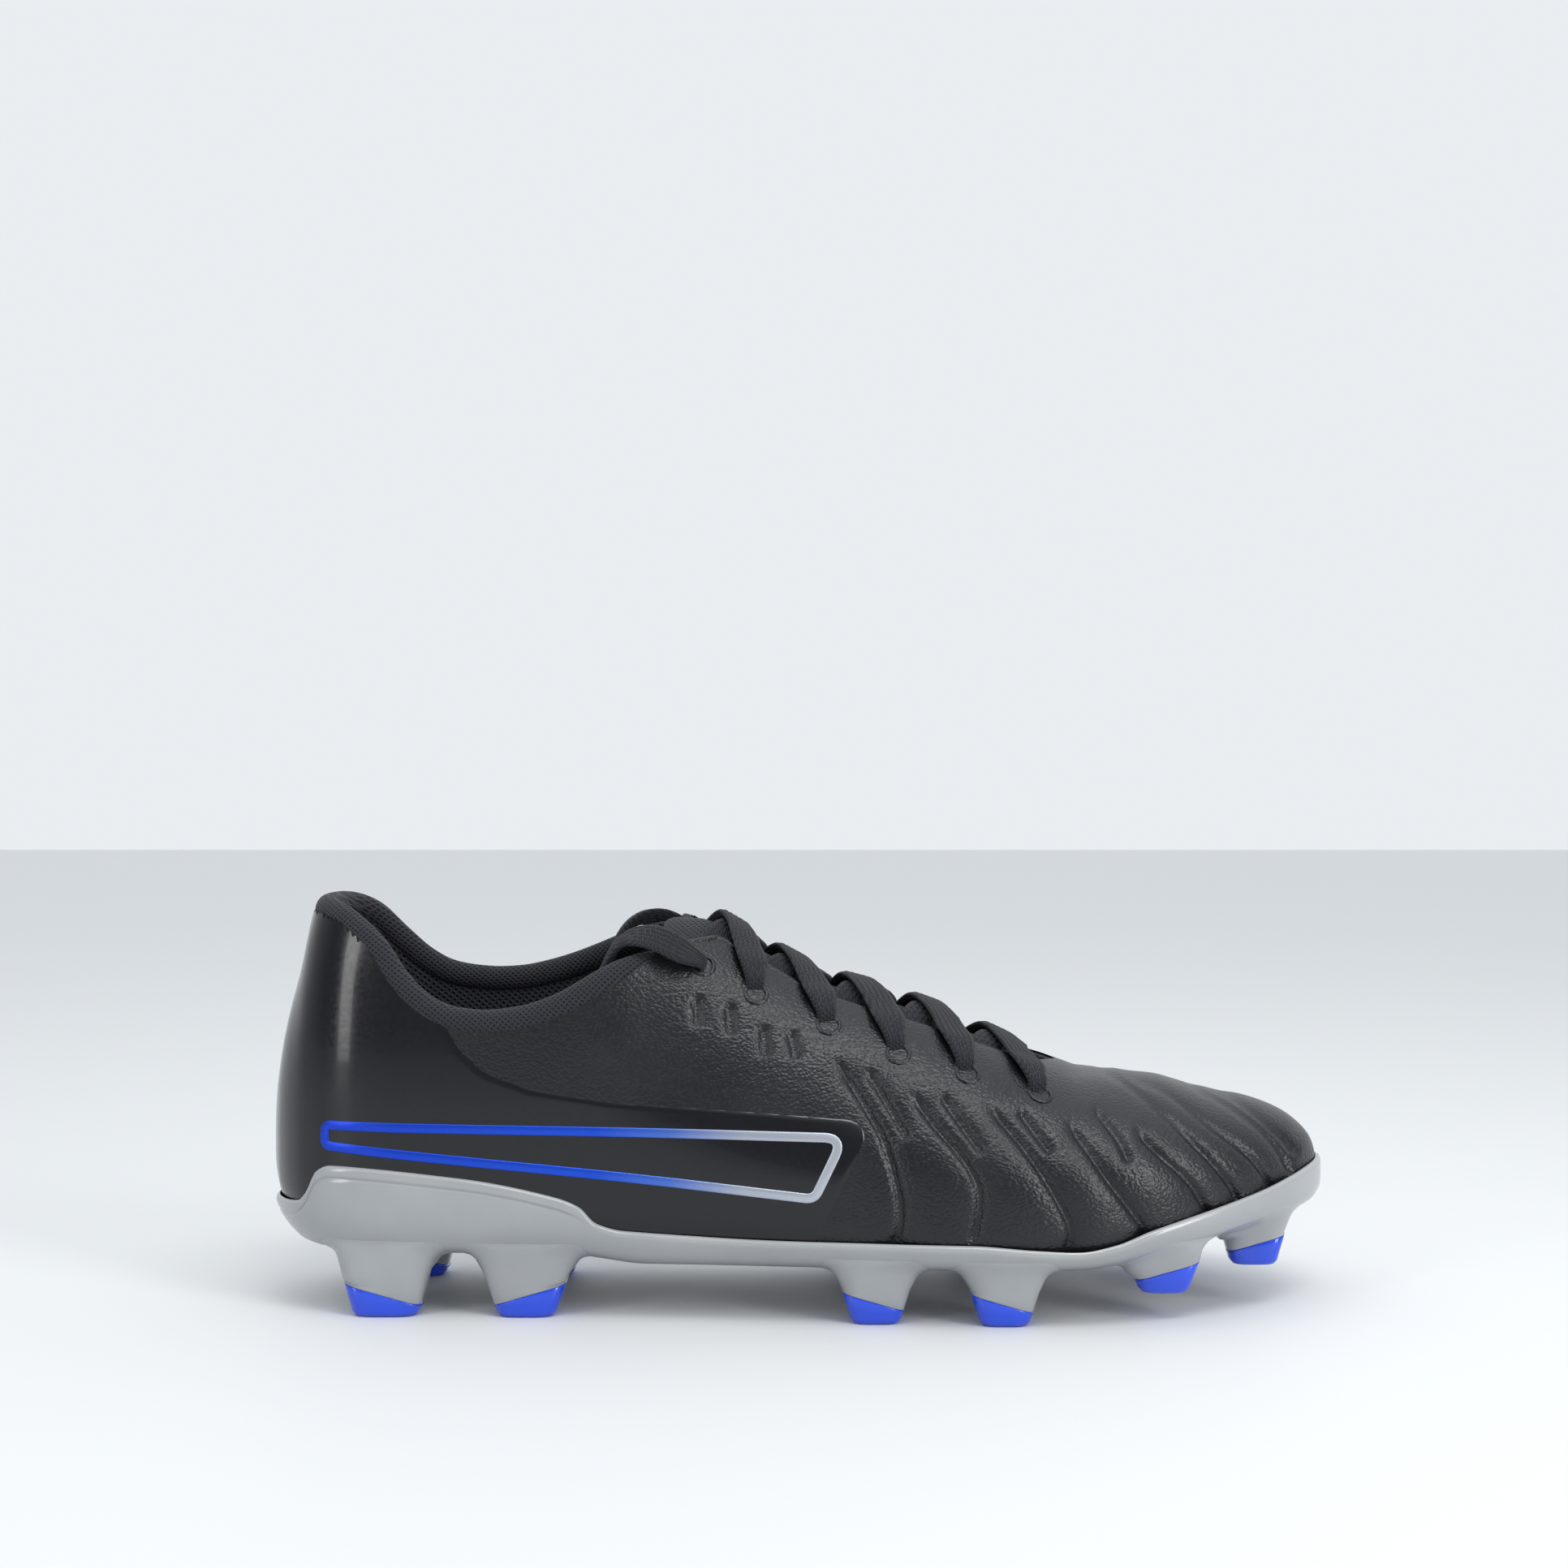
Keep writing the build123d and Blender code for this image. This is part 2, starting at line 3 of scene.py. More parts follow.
import bmesh
import bpy
import numpy as np
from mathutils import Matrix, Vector


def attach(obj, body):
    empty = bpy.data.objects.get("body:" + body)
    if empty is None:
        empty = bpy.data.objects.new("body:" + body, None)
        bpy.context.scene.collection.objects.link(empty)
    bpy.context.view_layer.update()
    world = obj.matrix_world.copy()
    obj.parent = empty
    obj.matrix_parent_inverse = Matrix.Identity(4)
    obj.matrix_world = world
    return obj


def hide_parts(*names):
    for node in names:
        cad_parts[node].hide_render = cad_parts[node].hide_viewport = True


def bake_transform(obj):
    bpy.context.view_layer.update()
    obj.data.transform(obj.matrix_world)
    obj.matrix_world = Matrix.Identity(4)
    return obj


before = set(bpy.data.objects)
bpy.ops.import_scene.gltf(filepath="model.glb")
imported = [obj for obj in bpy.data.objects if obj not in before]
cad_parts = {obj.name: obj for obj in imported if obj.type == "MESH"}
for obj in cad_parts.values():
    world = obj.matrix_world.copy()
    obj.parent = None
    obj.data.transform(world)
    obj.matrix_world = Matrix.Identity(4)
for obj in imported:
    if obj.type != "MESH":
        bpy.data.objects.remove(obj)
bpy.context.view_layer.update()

# ---------------------------------------------------------------- form of the shoe, millimetres
UPPER_TOP = [(-142.5, 54), (-141, 65), (-138.5, 77), (-134, 93), (-130.4, 109), (-127, 118), (-120, 126),
             (-105, 130), (-60, 129), (-48, 121), (-38, 112.5), (-28, 106.5), (-12, 97), (5, 88), (25, 82),
             (43, 75.3), (60, 67.5), (76, 62.3), (92, 60.4), (104, 58), (114, 55.6), (122, 53.5),
             (128, 51.4), (133, 49), (137, 46), (139.6, 43), (141.3, 39.6)]
UPPER_BOTTOM = [(-142.5, 38), (-141, 33), (-138.5, 27.5), (-134, 23), (-130, 20.5), (-124, 19.2),
                (-110, 18.3), (-60, 17.8), (-40, 15.5), (70, 15.5), (80, 16.5), (92, 19), (108, 22.7),
                (125, 26.3), (136, 28.8), (141.3, 32.5)]
LATERAL_HALF = [(-142.5, 4.5), (-141, 10), (-138.5, 16), (-134, 22.3), (-130, 26), (-124, 29.5),
                (-115, 32), (-105, 33.3), (-90, 34), (-50, 35), (-30, 36.5), (-10, 39), (10, 41.5),
                (30, 44.3), (50, 46), (70, 46.3), (85, 44.5), (105, 38.5), (120, 31), (130, 23.5),
                (136, 16.5), (140, 9.5), (141.3, 4.5)]
MEDIAL_HALF = [(-142.5, 4.5), (-141, 10), (-138.5, 16), (-134, 22.3), (-130, 26), (-124, 29.5),
               (-115, 32), (-105, 33.3), (-90, 33.5), (-50, 32.5), (-30, 31.7), (-10, 32.5), (10, 36),
               (30, 41.5), (50, 45.2), (70, 45.5), (85, 43.5), (105, 38), (120, 31), (130, 23.5),
               (136, 16.5), (140, 9.5), (141.3, 4.5)]
CENTRE_SHIFT = [(-142.5, 0), (50, 0), (70, 1), (85, 2.2), (105, 4.2), (120, 6), (136, 7.5), (141.3, 7.7)]
WIDEST_Z = [(-142.5, 45), (-130, 43), (-100, 40), (-50, 37), (0, 34), (50, 31), (90, 33), (120, 34.5),
            (136, 34.5), (141.3, 34.8)]
TOP_POWER = [(-142.5, 2.2), (-130, 2.6), (-60, 2.8), (-40, 2.3), (-10, 2.0), (60, 2.0), (100, 2.15),
             (141.3, 2.2)]
PLATE_EDGE = [(-150, 28.8), (-139, 29), (-132.5, 30), (-129.5, 33), (-126.5, 38.6), (-123, 40), (-89, 37.4),
              (-64, 32.6), (-57.5, 30), (-53, 25.4), (-46, 23.5), (2, 21.6), (43, 21.7), (59.5, 20.2),
              (70, 19.4), (80, 21.2), (89, 24.7), (107, 29.3), (122, 32.7), (139, 37), (150, 39)]
LATERAL_COLLAR = [(-150, 109), (-134, 108.5), (-128, 108), (-122, 106.5), (-117, 103), (-111.5, 98),
                  (-106, 90.4), (-101, 85.2), (-96, 81.8), (-90.5, 79.8), (-82, 79), (-73, 80), (-63, 83.2),
                  (-54, 88.2), (-46, 92.8), (-40, 95.2), (-34, 96.5), (-28, 97.2), (-22, 98), (-17, 99.8),
                  (-13, 104.5), (-10, 118), (-8, 150)]
MEDIAL_COLLAR = [(-150, 109), (-134, 108.5), (-128, 108), (-121.5, 105), (-115, 98.5), (-107, 91),
                 (-100, 87.3), (-93, 85.9), (-86, 85.4), (-79, 85.8), (-72, 87.2), (-65, 89.2), (-58, 91.8),
                 (-51, 94.8), (-44, 98), (-39, 100.2), (-34, 101.7), (-29, 103), (-24, 106.5), (-20, 118),
                 (-18, 150)]
THROAT_HALF = [(-62, 13), (-40, 13), (-26, 13.2), (-12, 14), (7, 16), (25, 18), (43, 18.2), (56, 15), (64, 10),
               (69.5, 0)]
EYELETS = [(-26, 91.5), (-12, 84), (7, 76), (25, 69), (43, 64), (62, 58.5)]
BOTTOM_POWER = 4.5


def follow(table, x):
    """Smooth value of a table of (x, value) rows at every x, with no overshoot between rows."""
    x = np.asarray(x, float)
    tx = np.array([row[0] for row in table], float)
    tv = np.array([row[1] for row in table], float)
    d = np.diff(tv) / np.diff(tx)
    before = np.concatenate([d[:1], d])
    after = np.concatenate([d, d[-1:]])
    same = before * after > 0
    slope = np.where(same, 2 * before * after / np.where(same, before + after, 1.0), 0.0)
    xc = np.clip(x, tx[0], tx[-1])
    i = np.clip(np.searchsorted(tx, xc, side="right") - 1, 0, len(d) - 1)
    step = tx[i + 1] - tx[i]
    t = (xc - tx[i]) / step
    low = (1 + 2 * t) * (1 - t) ** 2 * tv[i] + t * (1 - t) ** 2 * step * slope[i]
    high = t * t * (3 - 2 * t) * tv[i + 1] + t * t * (t - 1) * step * slope[i + 1]
    return low + high


def step(t):
    """Smooth step from 0 to 1."""
    t = np.clip(t, 0, 1)
    return t * t * (3 - 2 * t)


def unit(v):
    """Vectors scaled to length 1."""
    return v / np.maximum(np.linalg.norm(v, axis=-1, keepdims=True), 1e-9)


def circle(count):
    """Angles of evenly spaced points round a circle."""
    return np.linspace(0, 2 * math.pi, count + 1)[:-1]


def bisect(outside, low, high, rounds=30):
    """Narrows low and high, per item, to where outside(value) turns true."""
    for _ in range(rounds):
        mid = (low + high) / 2
        out = outside(mid)
        low, high = np.where(out, low, mid), np.where(out, mid, high)
    return low, high


def field(x, y, z, inset=0.0, drop=0.0):
    """Negative inside the form, positive outside."""
    squeeze = 1 - inset / 142.0
    xs = x / squeeze
    middle = follow(CENTRE_SHIFT, xs)
    widest = follow(WIDEST_Z, xs)
    top = np.maximum(follow(UPPER_TOP, xs) - 1.05 * inset, widest + 1.2)
    bottom = np.minimum(follow(UPPER_BOTTOM, xs) + inset, widest - 1.2) - drop
    half = np.where(y > middle, follow(MEDIAL_HALF, xs), follow(LATERAL_HALF, xs))
    half = np.maximum(half - inset, 1.0)
    power = np.where(z > widest, follow(TOP_POWER, xs), BOTTOM_POWER)
    reach = np.where(z > widest, top - widest, widest - bottom)
    value = (np.abs(y - middle) / half) ** power + (np.abs(z - widest) / reach) ** power - 1
    ends = np.maximum(xs - 141.3, -141.5 - xs)
    return np.maximum(value, ends * 0.5)


def skin_y(x, z, side, inset=0.0):
    """Signed y of the form at height z above its widest line."""
    squeeze = 1 - inset / 142.0
    xs = np.asarray(x, float) / squeeze
    half = follow(MEDIAL_HALF if side > 0 else LATERAL_HALF, xs) - inset
    power = follow(TOP_POWER, xs)
    widest = follow(WIDEST_Z, xs)
    share = np.clip((z - widest) / (follow(UPPER_TOP, xs) - 1.05 * inset - widest), -1, 1)
    return follow(CENTRE_SHIFT, xs) + side * half * (1 - np.abs(share) ** power) ** (1 / power)


def skin_z(x, y, inset=0.0):
    """Height of the upper half of the form over (x, y)."""
    squeeze = 1 - inset / 142.0
    xs = np.asarray(x, float) / squeeze
    middle = follow(CENTRE_SHIFT, xs)
    half = np.where(y > middle, follow(MEDIAL_HALF, xs), follow(LATERAL_HALF, xs)) - inset
    power = follow(TOP_POWER, xs)
    widest = follow(WIDEST_Z, xs)
    rise = (1 - np.minimum(np.abs(y - middle) / half, 1) ** power) ** (1 / power)
    return widest + (follow(UPPER_TOP, xs) - 1.05 * inset - widest) * rise


def normal_at(p, inset=0.0):
    """Outward unit normals of the form at points p (n, 3)."""
    e = 0.05
    g = np.stack([field(p[:, 0] + e * (k == 0), p[:, 1] + e * (k == 1), p[:, 2] + e * (k == 2), inset)
                  - field(p[:, 0] - e * (k == 0), p[:, 1] - e * (k == 1), p[:, 2] - e * (k == 2), inset)
                  for k in range(3)], axis=1)
    return unit(g)


SPINE_HEEL = -104.0
SPINE_TOE = 98.0
SPINE_HEIGHT = [(-104, 25), (-60, 33.5), (98, 32)]


def rays(steps_heel, xs_mid, steps_toe, angles):
    """Ray origins and directions of a capsule-like net around the form, as (u, v, 3) arrays."""
    origins, dirs = [], []
    toe_middle = float(follow(CENTRE_SHIFT, SPINE_TOE))
    v = np.radians(angles)
    ring = np.stack([np.zeros_like(v), np.cos(v), np.sin(v)], axis=1)
    for tilt in steps_heel:
        a = math.radians(tilt)
        origins.append(np.tile([SPINE_HEEL, 0, float(follow(SPINE_HEIGHT, SPINE_HEEL))], (len(v), 1)))
        dirs.append(math.cos(a) * ring + math.sin(a) * np.array([-1.0, 0, 0]))
    for x in xs_mid:
        origins.append(np.tile([x, float(follow(CENTRE_SHIFT, x)), float(follow(SPINE_HEIGHT, x))], (len(v), 1)))
        dirs.append(ring)
    for tilt in steps_toe:
        a = math.radians(tilt)
        origins.append(np.tile([SPINE_TOE, toe_middle, 32.0], (len(v), 1)))
        dirs.append(math.cos(a) * ring + math.sin(a) * np.array([1.0, 0.06, 0]))
    return np.array(origins), np.array(dirs)


def cast(origins, dirs, inset=0.0, drop=0.0):
    """Points where the rays leave the form."""
    o = origins.reshape(-1, 3)
    d = dirs.reshape(-1, 3)
    low, high = bisect(lambda far: field(*(o + d * far[:, None]).T, inset, drop) > 0,
                       np.zeros(len(o)), np.full(len(o), 170.0))
    return o + d * ((low + high) / 2)[:, None]


# ---------------------------------------------------------------- mesh helpers
def mesh_object(name, verts, faces):
    """A mesh object from millimetre points."""
    mesh = bpy.data.meshes.new(name)
    mesh.from_pydata((np.asarray(verts, float) / 1000.0).tolist(), [], [tuple(int(i) for i in f) for f in faces])
    mesh.validate(clean_customdata=False)
    mesh.polygons.foreach_set("use_smooth", [True] * len(mesh.polygons))
    mesh.update()
    obj = bpy.data.objects.new(name, mesh)
    bpy.context.scene.collection.objects.link(obj)
    return obj


def grid_faces(rows, cols, close_cols=False):
    """Quads of a rows by cols grid of vertices."""
    rr, cc = np.meshgrid(np.arange(rows - 1), np.arange(cols if close_cols else cols - 1), indexing="ij")
    a, b = rr * cols + cc, rr * cols + (cc + 1) % cols
    return np.stack([a, b, b + cols, a + cols], axis=-1).reshape(-1, 4)


def tube_faces(rows, cols):
    """Quads of a net of closed rings, with both ends capped."""
    faces = [tuple(f) for f in grid_faces(rows, cols, close_cols=True)]
    return faces + [tuple(range(cols))[::-1], tuple((rows - 1) * cols + i for i in range(cols))]


def trim_grid(points, inside, snap, rows, cols):
    """Faces of a grid whose corners are inside, with corners just outside pulled onto the line.

    inside(p) gives a signed value per point, negative inside; snap bounds the pull in millimetres."""
    value = inside(points)
    grid = points.reshape(rows, cols, 3).copy()
    val = value.reshape(rows, cols)
    moved = grid.copy()
    keep = val <= 0
    best = np.full((rows, cols), np.inf)
    for dr, dc in ((0, 1), (0, -1), (1, 0), (-1, 0)):
        other = np.roll(grid, (dr, dc), axis=(0, 1))
        oval = np.roll(val, (dr, dc), axis=(0, 1))
        if dr:
            oval[0 if dr > 0 else -1] = 1
        else:
            oval[:, 0 if dc > 0 else -1] = 1
        cross = (val > 0) & (oval <= 0)
        t = np.where(cross, val / np.maximum(val - oval, 1e-9), 0)
        spot = grid + (other - grid) * t[..., None]
        dist = np.linalg.norm(spot - grid, axis=-1)
        pick = cross & (dist < best) & (dist < snap)
        moved[pick] = spot[pick]
        best[pick] = dist[pick]
    keep |= np.isfinite(best)
    flat = keep.reshape(-1)
    faces = grid_faces(rows, cols)
    faces = faces[flat[faces].all(axis=1)]
    used = np.unique(faces)
    index = np.full(len(flat), -1)
    index[used] = np.arange(len(used))
    return moved.reshape(-1, 3)[used], index[faces], used


def resample(points, count):
    """Evenly spaced points along a polyline."""
    p = np.asarray(points, float)
    run = np.concatenate([[0], np.cumsum(np.linalg.norm(np.diff(p, axis=0), axis=1))])
    at = np.linspace(0, run[-1], count)
    return np.stack([np.interp(at, run, p[:, k]) for k in range(3)], axis=1)


def smooth_line(points, rounds=3):
    """Lightly averaged copy of an open polyline."""
    p = np.asarray(points, float).copy()
    for _ in range(rounds):
        p[1:-1] = 0.25 * p[:-2] + 0.5 * p[1:-1] + 0.25 * p[2:]
    return p


def spline3(points, count):
    """Catmull-Rom curve through points, evenly resampled."""
    p = np.asarray(points, float)
    p = np.vstack([2 * p[0] - p[1], p, 2 * p[-1] - p[-2]])
    out = []
    for i in range(1, len(p) - 2):
        for t in np.linspace(0, 1, 24, endpoint=False):
            a, b, c, d = p[i - 1], p[i], p[i + 1], p[i + 2]
            out.append(0.5 * (2 * b + (c - a) * t + (2 * a - 5 * b + 4 * c - d) * t * t
                              + (3 * b - a - 3 * c + d) * t ** 3))
    out.append(p[-2])
    return resample(out, count)


def sweep(path, ups, profile, caps=True):
    """Sweeps one closed profile of (side, up) points, or one per station, along a path with up vectors."""
    path = np.asarray(path, float)
    tan = unit(np.gradient(path, axis=0))
    side = unit(np.cross(tan, np.asarray(ups, float)))
    up = np.cross(side, tan)
    prof = np.asarray(profile, float)
    if prof.ndim == 2:
        prof = np.tile(prof, (len(path), 1, 1))
    verts = path[:, None] + side[:, None] * prof[:, :, :1] + up[:, None] * prof[:, :, 1:2]
    faces = tube_faces(len(path), prof.shape[1])
    return verts.reshape(-1, 3), faces if caps else faces[:-2]


def join_parts(parts):
    """One vertex and face list from several."""
    verts, faces, base = [], [], 0
    for v, f in parts:
        verts.append(np.asarray(v, float))
        faces.extend(tuple(int(i) + base for i in face) for face in f)
        base += len(v)
    return np.vstack(verts), faces


# ---------------------------------------------------------------- shared boundaries
def collar_value(p):
    """Height above the collar line, by side."""
    lateral = follow(LATERAL_COLLAR, p[:, 0])
    medial = follow(MEDIAL_COLLAR, p[:, 0])
    blend = np.clip((p[:, 1] + 6) / 12, 0, 1)
    blend = np.where(p[:, 0] < -115, blend, np.where(p[:, 1] > 0, 1.0, 0.0))
    return p[:, 2] - (lateral * (1 - blend) + medial * blend)


def throat_value(p, margin=0.0):
    """Positive inside the lacing opening."""
    half = follow(THROAT_HALF, p[:, 0]) + margin
    opening = half - np.abs(p[:, 1])
    over = np.minimum(opening, 69.5 + margin - p[:, 0])
    return np.where(p[:, 2] > 50, over, -20.0)


def open_value(p):
    """Positive where the upper is open at the collar or throat."""
    return np.maximum(collar_value(p), np.where(p[:, 0] > -62, throat_value(p), -20.0))


# Side-view groove lines (x, z) of the ribbed forefoot, each with depth and half width.
LONG_GROOVES = [
    [(7.5, 69.5), (14, 60), (20.3, 49), (23.6, 38), (24.7, 28.5), (22.4, 18)],
    [(27, 61), (34, 52), (41.5, 43), (44.8, 34.5), (42.5, 20)],
    [(46.5, 58), (54, 50), (60, 41.8), (65, 33), (68, 25.5), (66.5, 18)],
    [(67.5, 53.5), (73, 46), (78, 38.5), (85, 29), (87, 25.5), (86.5, 20)],
    [(85, 51.5), (93, 43.5), (100.5, 36), (107, 25)],
    [(68, 62), (82, 61.5), (93, 55), (104, 44.5), (112, 34.5), (116, 26)],
    [(84, 61.5), (96, 58), (107, 50.5), (118, 42), (124.5, 33), (127, 28)],
    [(98, 60.5), (110, 56), (122, 48.5), (129, 40.5), (132, 33)],
    [(104, 59), (117, 54.5), (128, 46), (134.5, 39)],
]
SHORT_GROOVES = [
    [(-27.5, 84), (-27, 76)], [(-19, 82), (-18.4, 74)], [(-10, 76.5), (-9.5, 68.5)],
    [(-3, 75), (-1.5, 68)], [(16.4, 66), (22, 57), (27, 48.5)],
    [(35.3, 60), (41, 52), (46, 45)], [(55.6, 56), (60, 50), (63.7, 45)],
    [(75.5, 55.5), (81, 48.5), (84, 42)],
]


def line_distance(px, pz, line):
    """Distance in the side view from points to a curve, and the place along it from 0 to 1."""
    pts = spline3([(a, 0, b) for a, b in line], 60)[:, [0, 2]]
    a, b = pts[:-1], pts[1:]
    best = np.full(len(px), 1e9)
    place = np.zeros(len(px))
    total = len(a)
    for i in range(total):
        seg = b[i] - a[i]
        t = np.clip(((px - a[i, 0]) * seg[0] + (pz - a[i, 1]) * seg[1]) / (seg @ seg), 0, 1)
        dist = np.hypot(px - a[i, 0] - t * seg[0], pz - a[i, 1] - t * seg[1])
        closer = dist < best
        best = np.where(closer, dist, best)
        place = np.where(closer, (i + t) / total, place)
    return best, place


def groove_depth(p):
    """Depth of the pressed ribs at skin points, zero on the plain quarters."""
    slot_depth = np.zeros(len(p))
    valley = np.zeros(len(p))
    px, pz = p[:, 0], p[:, 2]
    near = (px > -45) & (p[:, 2] > 15)
    idx = np.nonzero(near)[0]
    for lines, deep, wide, spread in ((LONG_GROOVES, 0.85, 0.95, 3.2), (SHORT_GROOVES, 0.75, 1.0, 1.3)):
        for line in lines:
            xs = [a for a, _ in line]
            zs = [b for _, b in line]
            m = idx[(px[idx] > min(xs) - 14) & (px[idx] < max(xs) + 14)
                    & (pz[idx] > min(zs) - 14) & (pz[idx] < max(zs) + 14)]
            if not len(m):
                continue
            dist, place = line_distance(px[m], pz[m], line)
            fade = np.clip(place / 0.16, 0, 1) * np.clip((1 - place) / 0.10, 0, 1)
            fade = step(fade)
            slot_depth[m] = np.maximum(slot_depth[m], deep * fade * np.exp(-(dist / wide) ** 2))
            valley[m] += 1.75 * deep * fade * (np.exp(-np.sqrt(dist ** 2 + 0.6) / spread) - 0.012)
    below_crest = follow(UPPER_TOP, px) - pz
    return (slot_depth + np.clip(valley, 0, 2.2)) * (0.35 + 0.65 * np.clip(below_crest / 13, 0, 1))


# ---------------------------------------------------------------- upper skin
HEEL_STEPS = np.concatenate([[89.5], np.linspace(86, 22, 40), np.linspace(20.5, 1.5, 22)])
MID_XS = np.concatenate([np.arange(-104, -46, 1.15), np.arange(-46, 5, 0.9), np.arange(5, 98, 0.62)])
TOE_STEPS = np.concatenate([np.linspace(0.6, 84, 112), [87, 89.5]])
ANGLES = np.linspace(-44, 225, 340)
net_o, net_d = rays(HEEL_STEPS, MID_XS, TOE_STEPS, ANGLES)
ROWS, COLS = net_o.shape[:2]
skin_pts = cast(net_o, net_d)
skin_nrm = normal_at(skin_pts)


def under_plate(p, depth=4.0):
    """Positive for points hidden well inside the plate's cup."""
    return (follow(PLATE_EDGE, p[:, 0]) - depth) - p[:, 2]


skin_shape = skin_pts - skin_nrm * groove_depth(skin_pts)[:, None]


def cut_skin(points, extra=None, low=4.0):
    """Trims a net of the upper to the collar, throat and plate, and to an extra region."""
    def value(p):
        under_roll = 3.0 * step((-34 - p[:, 0]) / 10)
        v = np.maximum(np.maximum(open_value(p), collar_value(p) + under_roll), under_plate(p, low))
        return v if extra is None else np.maximum(v, extra(p))
    return trim_grid(points, value, 1.6, ROWS, COLS)


# ---------------------------------------------------------------- materials
def shader(name, color, rough, **sockets):
    """A principled material and its node tree helpers."""
    mat = bpy.data.materials.new(name)
    mat.use_nodes = True
    tree = mat.node_tree
    bsdf = tree.nodes["Principled BSDF"]
    bsdf.inputs["Base Color"].default_value = (*color, 1)
    bsdf.inputs["Roughness"].default_value = rough
    for key, value in sockets.items():
        bsdf.inputs[key.replace("_", " ")].default_value = value
    return mat, tree, bsdf


def node(tree, kind, **settings):
    """A node with its plain settings and input defaults."""
    n = tree.nodes.new(kind)
    for key, value in settings.items():
        if key.startswith("in_"):
            n.inputs[key[3:].replace("_", " ")].default_value = value
        else:
            setattr(n, key, value)
    return n


def coords(tree, scale=(1, 1, 1), rotation=(0, 0, 0)):
    """Object coordinates, scaled and turned."""
    tex = node(tree, "ShaderNodeTexCoord")
    mapping = node(tree, "ShaderNodeMapping")
    mapping.inputs["Scale"].default_value = scale
    mapping.inputs["Rotation"].default_value = rotation
    plug(tex.outputs["Object"], mapping, "Vector")
    return mapping.outputs["Vector"]


def plug(source, target, socket):
    """Links an output to a node's input."""
    target.id_data.links.new(source, target.inputs[socket])


def tint(color, factor):
    """A lighter or darker colour."""
    return tuple(min(c * factor, 1) for c in color)


def noise(tree, vector, scale, detail=2.0):
    """A noise factor over the given coordinates."""
    n = node(tree, "ShaderNodeTexNoise", in_Scale=scale, in_Detail=detail)
    plug(vector, n, "Vector")
    return n.outputs["Fac"]


def bump(tree, height, strength, distance, normal=None):
    """A bump node fed by a height."""
    b = node(tree, "ShaderNodeBump", in_Strength=strength, in_Distance=distance)
    plug(height, b, "Height")
    if normal is not None:
        plug(normal, b, "Normal")
    return b.outputs["Normal"]


def ramp(tree, value, stops):
    """A colour ramp."""
    r = node(tree, "ShaderNodeValToRGB")
    r.color_ramp.elements[0].position, r.color_ramp.elements[0].color = stops[0][0], (*stops[0][1], 1)
    r.color_ramp.elements[1].position, r.color_ramp.elements[1].color = stops[-1][0], (*stops[-1][1], 1)
    for pos, col in stops[1:-1]:
        e = r.color_ramp.elements.new(pos)
        e.color = (*col, 1)
    plug(value, r, "Fac")
    return r.outputs["Color"]


def map_range(tree, value, a, b, c, d):
    """Maps a value from a..b to c..d."""
    m = node(tree, "ShaderNodeMapRange", in_From_Min=a, in_From_Max=b, in_To_Min=c, in_To_Max=d)
    plug(value, m, "Value")
    return m.outputs["Result"]


def leather():
    """Fine-grained black synthetic leather with small pebbles and faint creases."""
    mat, t, b = shader("leather_black", (0.010, 0.010, 0.012), 0.36, Specular_IOR_Level=0.42)
    v = coords(t)
    warp = node(t, "ShaderNodeTexNoise", in_Scale=300.0, in_Detail=2.0)
    plug(v, warp, "Vector")
    swirl = node(t, "ShaderNodeMixRGB", blend_type="LINEAR_LIGHT", in_Fac=0.0007)
    plug(v, swirl, "Color1")
    plug(warp.outputs["Color"], swirl, "Color2")
    stretch = node(t, "ShaderNodeMapping")
    stretch.inputs["Rotation"].default_value = (0, math.radians(28), 0)
    stretch.inputs["Scale"].default_value = (0.8, 1.0, 1.15)
    plug(swirl.outputs["Color"], stretch, "Vector")
    cells = node(t, "ShaderNodeTexVoronoi", in_Scale=1250.0, feature="SMOOTH_F1")
    cells.inputs["Smoothness"].default_value = 0.35
    plug(stretch.outputs["Vector"], cells, "Vector")
    fine = noise(t, v, 2400.0, 3.0)
    broad = noise(t, v, 38.0, 4.0)
    n1 = bump(t, cells.outputs["Distance"], 0.7, -0.00022)
    plug(bump(t, fine, 0.2, 0.00008, n1), b, "Normal")
    plug(map_range(t, broad, 0.3, 0.7, 0.29, 0.38), b, "Roughness")
    plug(ramp(t, broad, [(0.3, (0.006, 0.006, 0.008)), (0.72, (0.010, 0.010, 0.012))]), b, "Base Color")
    return mat


def film():
    """Glossy black film pressed on the heel and arch."""
    mat, t, b = shader("film_gloss", (0.004, 0.004, 0.006), 0.14, Coat_Weight=0.2, Coat_Roughness=0.05,
                        Specular_IOR_Level=0.38)
    v = coords(t)
    fine = noise(t, v, 900.0)
    n1 = bump(t, noise(t, v, 55.0), 0.10, 0.0012)
    plug(bump(t, fine, 0.06, 0.0001, n1), b, "Normal")
    plug(map_range(t, fine, 0.3, 0.7, 0.13, 0.22), b, "Roughness")
    return mat


